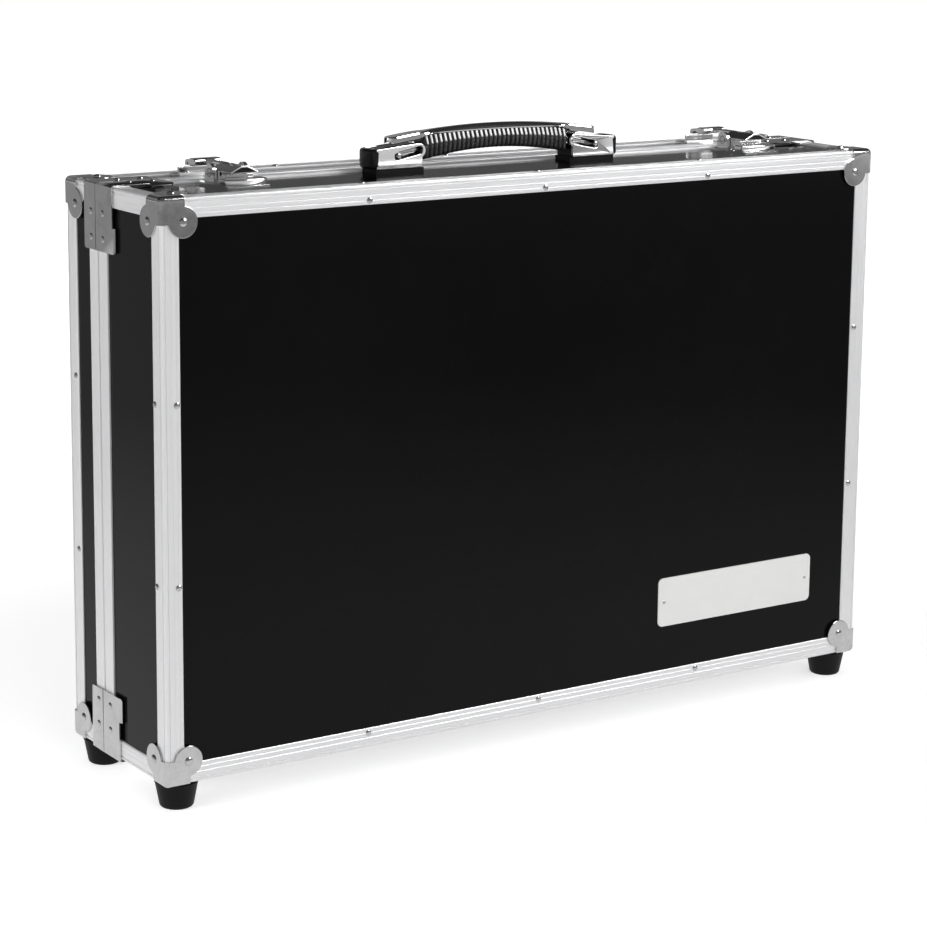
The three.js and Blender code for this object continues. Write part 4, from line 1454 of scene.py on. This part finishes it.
def grid_sheet(name, wide, tall, cells, y, turn, depth_at):
    """An upright sheet whose depth is worked out from x, z and the distance to its rim."""
    sheet = start(
        name, "grid", x_subdivisions=cells[0], y_subdivisions=cells[1], size=1,
        location=(0, y, MIDDLE_Z), rotation=(turn, 0, 0),
    )
    sheet.scale = (wide, tall, 1)
    settle(sheet)
    for vertex in sheet.data.vertices:
        x, z = vertex.co.x, vertex.co.z - MIDDLE_Z
        vertex.co.y = depth_at(x, z, min(wide / 2 - abs(x), tall / 2 - abs(z)))
    return sheet


def close_back(piece, y):
    """Draws the sheet's rim back to a flat plane and closes it there."""
    edit(piece)
    pick_rim()
    push((0, 0, 0))
    mesh = bmesh.from_edit_mesh(piece.data)
    for vertex in mesh.verts:
        if vertex.select:
            vertex.co.y = y
    bmesh.update_edit_mesh(piece.data)
    bpy.ops.mesh.edge_face_add()
    return leave(piece)


def foam_lining():
    """Soft strips round the body's walls, crowned between their edges."""
    near_edge, far_edge = LINING_FROM_FACE
    outer, inner = LINING_INSET, LINING_INSET + LINING_WALL
    steps = 12
    crown = []
    for i in range(steps + 1):
        hollow = (1 - math.sin(math.pi * i / steps)) ** 2
        along_wall = near_edge + 1.2 + (far_edge - near_edge - 2.4) * i / steps
        crown.append((inner - LINING_CROWN * hollow, along_wall))
    corner = inner - 2.6
    front_rim = [(outer, near_edge), (corner, near_edge)]
    rim = [*front_rim, *crown, (corner, far_edge), (outer, far_edge)]
    lining = profiled_ring("body_soft_lining", [(a * MM, FRONT + d * MM) for a, d in rim])
    place(polish(lining), "body", "foam", ["body_foam_lining"])


def lid_pad():
    """Convoluted foam in the lid: rows of soft peaks, flat round the rim."""

    def depth_at(x, z, to_rim):
        rise = min(1, max(0, (to_rim - PAD_RIM) / PAD_RISE))
        turn = 2 * math.pi / PEAK_PITCH
        wave = 0.5 + 0.5 * math.cos(turn * x) * math.cos(turn * z)
        rim = PAD_EDGE * max(0, 1 - to_rim / PAD_RIM) ** 2
        return PAD_FRONT + PAD_SKIN + rim + rise * PEAK_HEIGHT * (1 - wave)

    wide, tall = WIDTH - 2 * LINING_INSET * MM, HEIGHT - 2 * LINING_INSET * MM
    cells = (136, 88)
    pad = grid_sheet(
        "lid_convoluted_foam", wide, tall, cells, PAD_FRONT, QUARTER_TURN, depth_at
    )
    close_back(pad, PAD_BACK)
    place(polish(pad), "lid", "foam", ["lid_foam_pad"])


def deck_carpet():
    """Loop carpet glued on the deck, its pile a little uneven and its edge rolled over."""
    glued, pile_top = (FRONT + d * MM for d in CARPET_FROM_FACE)
    wide, tall = WIDTH - 2 * CARPET_INSET, HEIGHT - 2 * CARPET_INSET
    pile = random.Random(7)

    def depth_at(x, z, to_rim):
        rolled = CARPET_ROLL * max(0, 1 - to_rim / CARPET_ROLL_REACH)
        return pile_top - rolled - pile.uniform(0, LOOP_HEIGHT) * MM

    cells = (120, 76)
    carpet = grid_sheet(
        "deck_loop_carpet", wide, tall, cells, pile_top, -QUARTER_TURN, depth_at
    )
    close_back(carpet, glued)
    place(polish(carpet), "body", "carpet", ["deck_carpet"])


foam_lining()
lid_pad()
deck_carpet()


# Camera

CAMERA_AT = (-1.01906, -1.49317, 0.58483)
CAMERA_YAW = math.radians(33.7818)
CAMERA_PITCH = math.radians(-10.7322)
CAMERA_ROLL = math.radians(0.5222)
LENS = 105.68
SENSOR = 36
SHIFT_Y = -0.1009


def aim_camera():
    level = math.cos(CAMERA_PITCH)
    ahead = (math.sin(CAMERA_YAW) * level, math.cos(CAMERA_YAW) * level, math.sin(CAMERA_PITCH))
    look = Vector(ahead)
    right = Vector((math.cos(CAMERA_YAW), -math.sin(CAMERA_YAW), 0))
    up = right.cross(look)
    c, s = math.cos(CAMERA_ROLL), math.sin(CAMERA_ROLL)
    camera_data = bpy.data.cameras.new("photo_camera")
    camera_data.lens = LENS
    camera_data.sensor_width = SENSOR
    camera_data.shift_y = SHIFT_Y
    camera = bpy.data.objects.new("photo_camera", camera_data)
    camera.matrix_world = columns(c * right + s * up, -s * right + c * up, -look, CAMERA_AT)
    bpy.context.scene.collection.objects.link(camera)
    bpy.context.scene.camera = camera


# Studio. A fade is: from a value, to a value, the glow at each end

TABLE_GLOW = 0.85
FRONT_ROOM_GLOW = 0.03
BACK_ROOM_GLOW = 0.34
# Over the distance from the case, in metres
TABLE_FADE = (0.35, 1.35, 1.0, 0.0)
NEAR_ROOM_FADE = (2.3, 3.0, FRONT_ROOM_GLOW, 0.24)
FAR_ROOM_FADE = (3.5, 4.0, 0.2, 0.75)
FLOOR_SEEN = (0.4, 1.1, 0.62, 1.05)
# Over y on the floor
FRONT_TO_BACK = (-0.4, 0.5, 0.0, 1.0)
# Over the height of a view into the room
HORIZON_FADE = (0.02, 0.08, 0.6, 0.14)
RISING_FADE = (0.15, 0.28, 0.14, 0.28)
CEILING_BEHIND = (0.36, 0.48, 1.0, 0.1)
CEILING_AHEAD = (0.36, 0.6, 0.3, 0.1)
# Over the way of a view, back or front
TOWARDS_FRONT = (-0.25, 0.35, 1.0, 0.0)
AMBIENT = 0.12
LAMPS_LOOK_AT = Vector((0, 0, 0.2))
# Place, size and power
SOFT_BOXES = {
    "overhead_soft_box": ((-0.2, -0.3, 2.3), 2.2, 1.5),
    "front_soft_box": ((-0.4, -2.7, 0.6), 1.6, 46),
    "key_soft_box": ((1.5, -1.6, 0.8), 0.7, 8),
    "side_soft_box": ((-2.4, 0.0, 0.5), 1.3, 40),
    "back_soft_box": ((0.4, 2.7, 0.5), 1.4, 22),
    "far_side_soft_box": ((2.4, 0.3, 0.5), 1.3, 14),
}


def floor_material():
    """White to the camera with the case's shadow; in metal, a bright table in a dim room."""
    material = bpy.data.materials.new("studio_floor")
    material.use_nodes = True
    w = Wiring(material.node_tree)
    shader = w.tree.nodes["Principled BSDF"]
    shader.inputs["Roughness"].default_value = 0.9
    shader.inputs["Specular IOR Level"].default_value = 0.1
    path = w.node("LightPath").outputs
    x, y, _ = w.split(w.node("TexCoord").outputs["Object"])
    away = w.math("SQRT", w.math("ADD", w.math("POWER", x, 2.0), w.math("POWER", y, 2.0)))
    front_room = w.math(
        "MAXIMUM", w.remap(away, *NEAR_ROOM_FADE), w.remap(away, *FAR_ROOM_FADE)
    )
    room = w.blend(w.remap(y, *FRONT_TO_BACK), front_room, BACK_ROOM_GLOW)
    mirrored = w.blend(w.remap(away, *TABLE_FADE), room, TABLE_GLOW)
    strength = w.math(
        "ADD",
        w.math("MULTIPLY", path["Is Camera Ray"], w.remap(away, *FLOOR_SEEN)),
        w.math("MULTIPLY", path["Is Glossy Ray"], mirrored),
    )
    w.feed(shader.inputs["Emission Color"], grey(1))
    w.feed(shader.inputs["Emission Strength"], strength)
    colour = w.mix(path["Is Glossy Ray"], grey(0.86), grey(0.0))
    w.feed(shader.inputs["Base Color"], colour)
    return material


def studio_world():
    """White to the camera. Metal sees a pale horizon, brighter in front, under a dark ceiling."""
    world = bpy.data.worlds.new("studio")
    world.use_nodes = True
    bpy.context.scene.world = world
    w = Wiring(world.node_tree)
    path = w.node("LightPath").outputs
    _, y, z = w.split(w.node("TexCoord").outputs["Generated"])
    low_down = w.math("MAXIMUM", w.remap(z, *HORIZON_FADE), w.remap(z, *RISING_FADE))
    behind = w.math("MULTIPLY", low_down, w.remap(z, *CEILING_BEHIND))
    mirrored = w.blend(w.remap(y, *TOWARDS_FRONT), behind, w.remap(z, *CEILING_AHEAD))
    lighting = w.blend(path["Is Glossy Ray"], AMBIENT, mirrored)
    background = w.tree.nodes["Background"].inputs
    w.feed(background["Color"], grey(1))
    w.feed(background["Strength"], w.blend(path["Is Camera Ray"], lighting, 1.0))


def lamp(name, at, size, power, mirrored=False):
    """A square lamp that either lights the case or is only mirrored in it."""
    data = bpy.data.lights.new(name, "AREA")
    data.shape = "SQUARE"
    data.size = size
    data.energy = power
    made = bpy.data.objects.new(name, data)
    made.location = at
    made.rotation_euler = (LAMPS_LOOK_AT - Vector(at)).to_track_quat("-Z", "Y").to_euler()
    made.visible_glossy = mirrored
    made.visible_diffuse = not mirrored
    made.visible_camera = False
    bpy.context.scene.collection.objects.link(made)


def studio():
    floor = start("studio_floor", "plane", size=12, location=(0, 0, 0))
    dress(floor, floor_material())
    studio_world()
    for name, settings in SOFT_BOXES.items():
        lamp(name, *settings)
    lamp("highlight_soft_box", (0.42, -0.43, 0.85), 0.5, 11, mirrored=True)


aim_camera()
studio()
bpy.context.scene.view_settings.view_transform = "Standard"
bare()
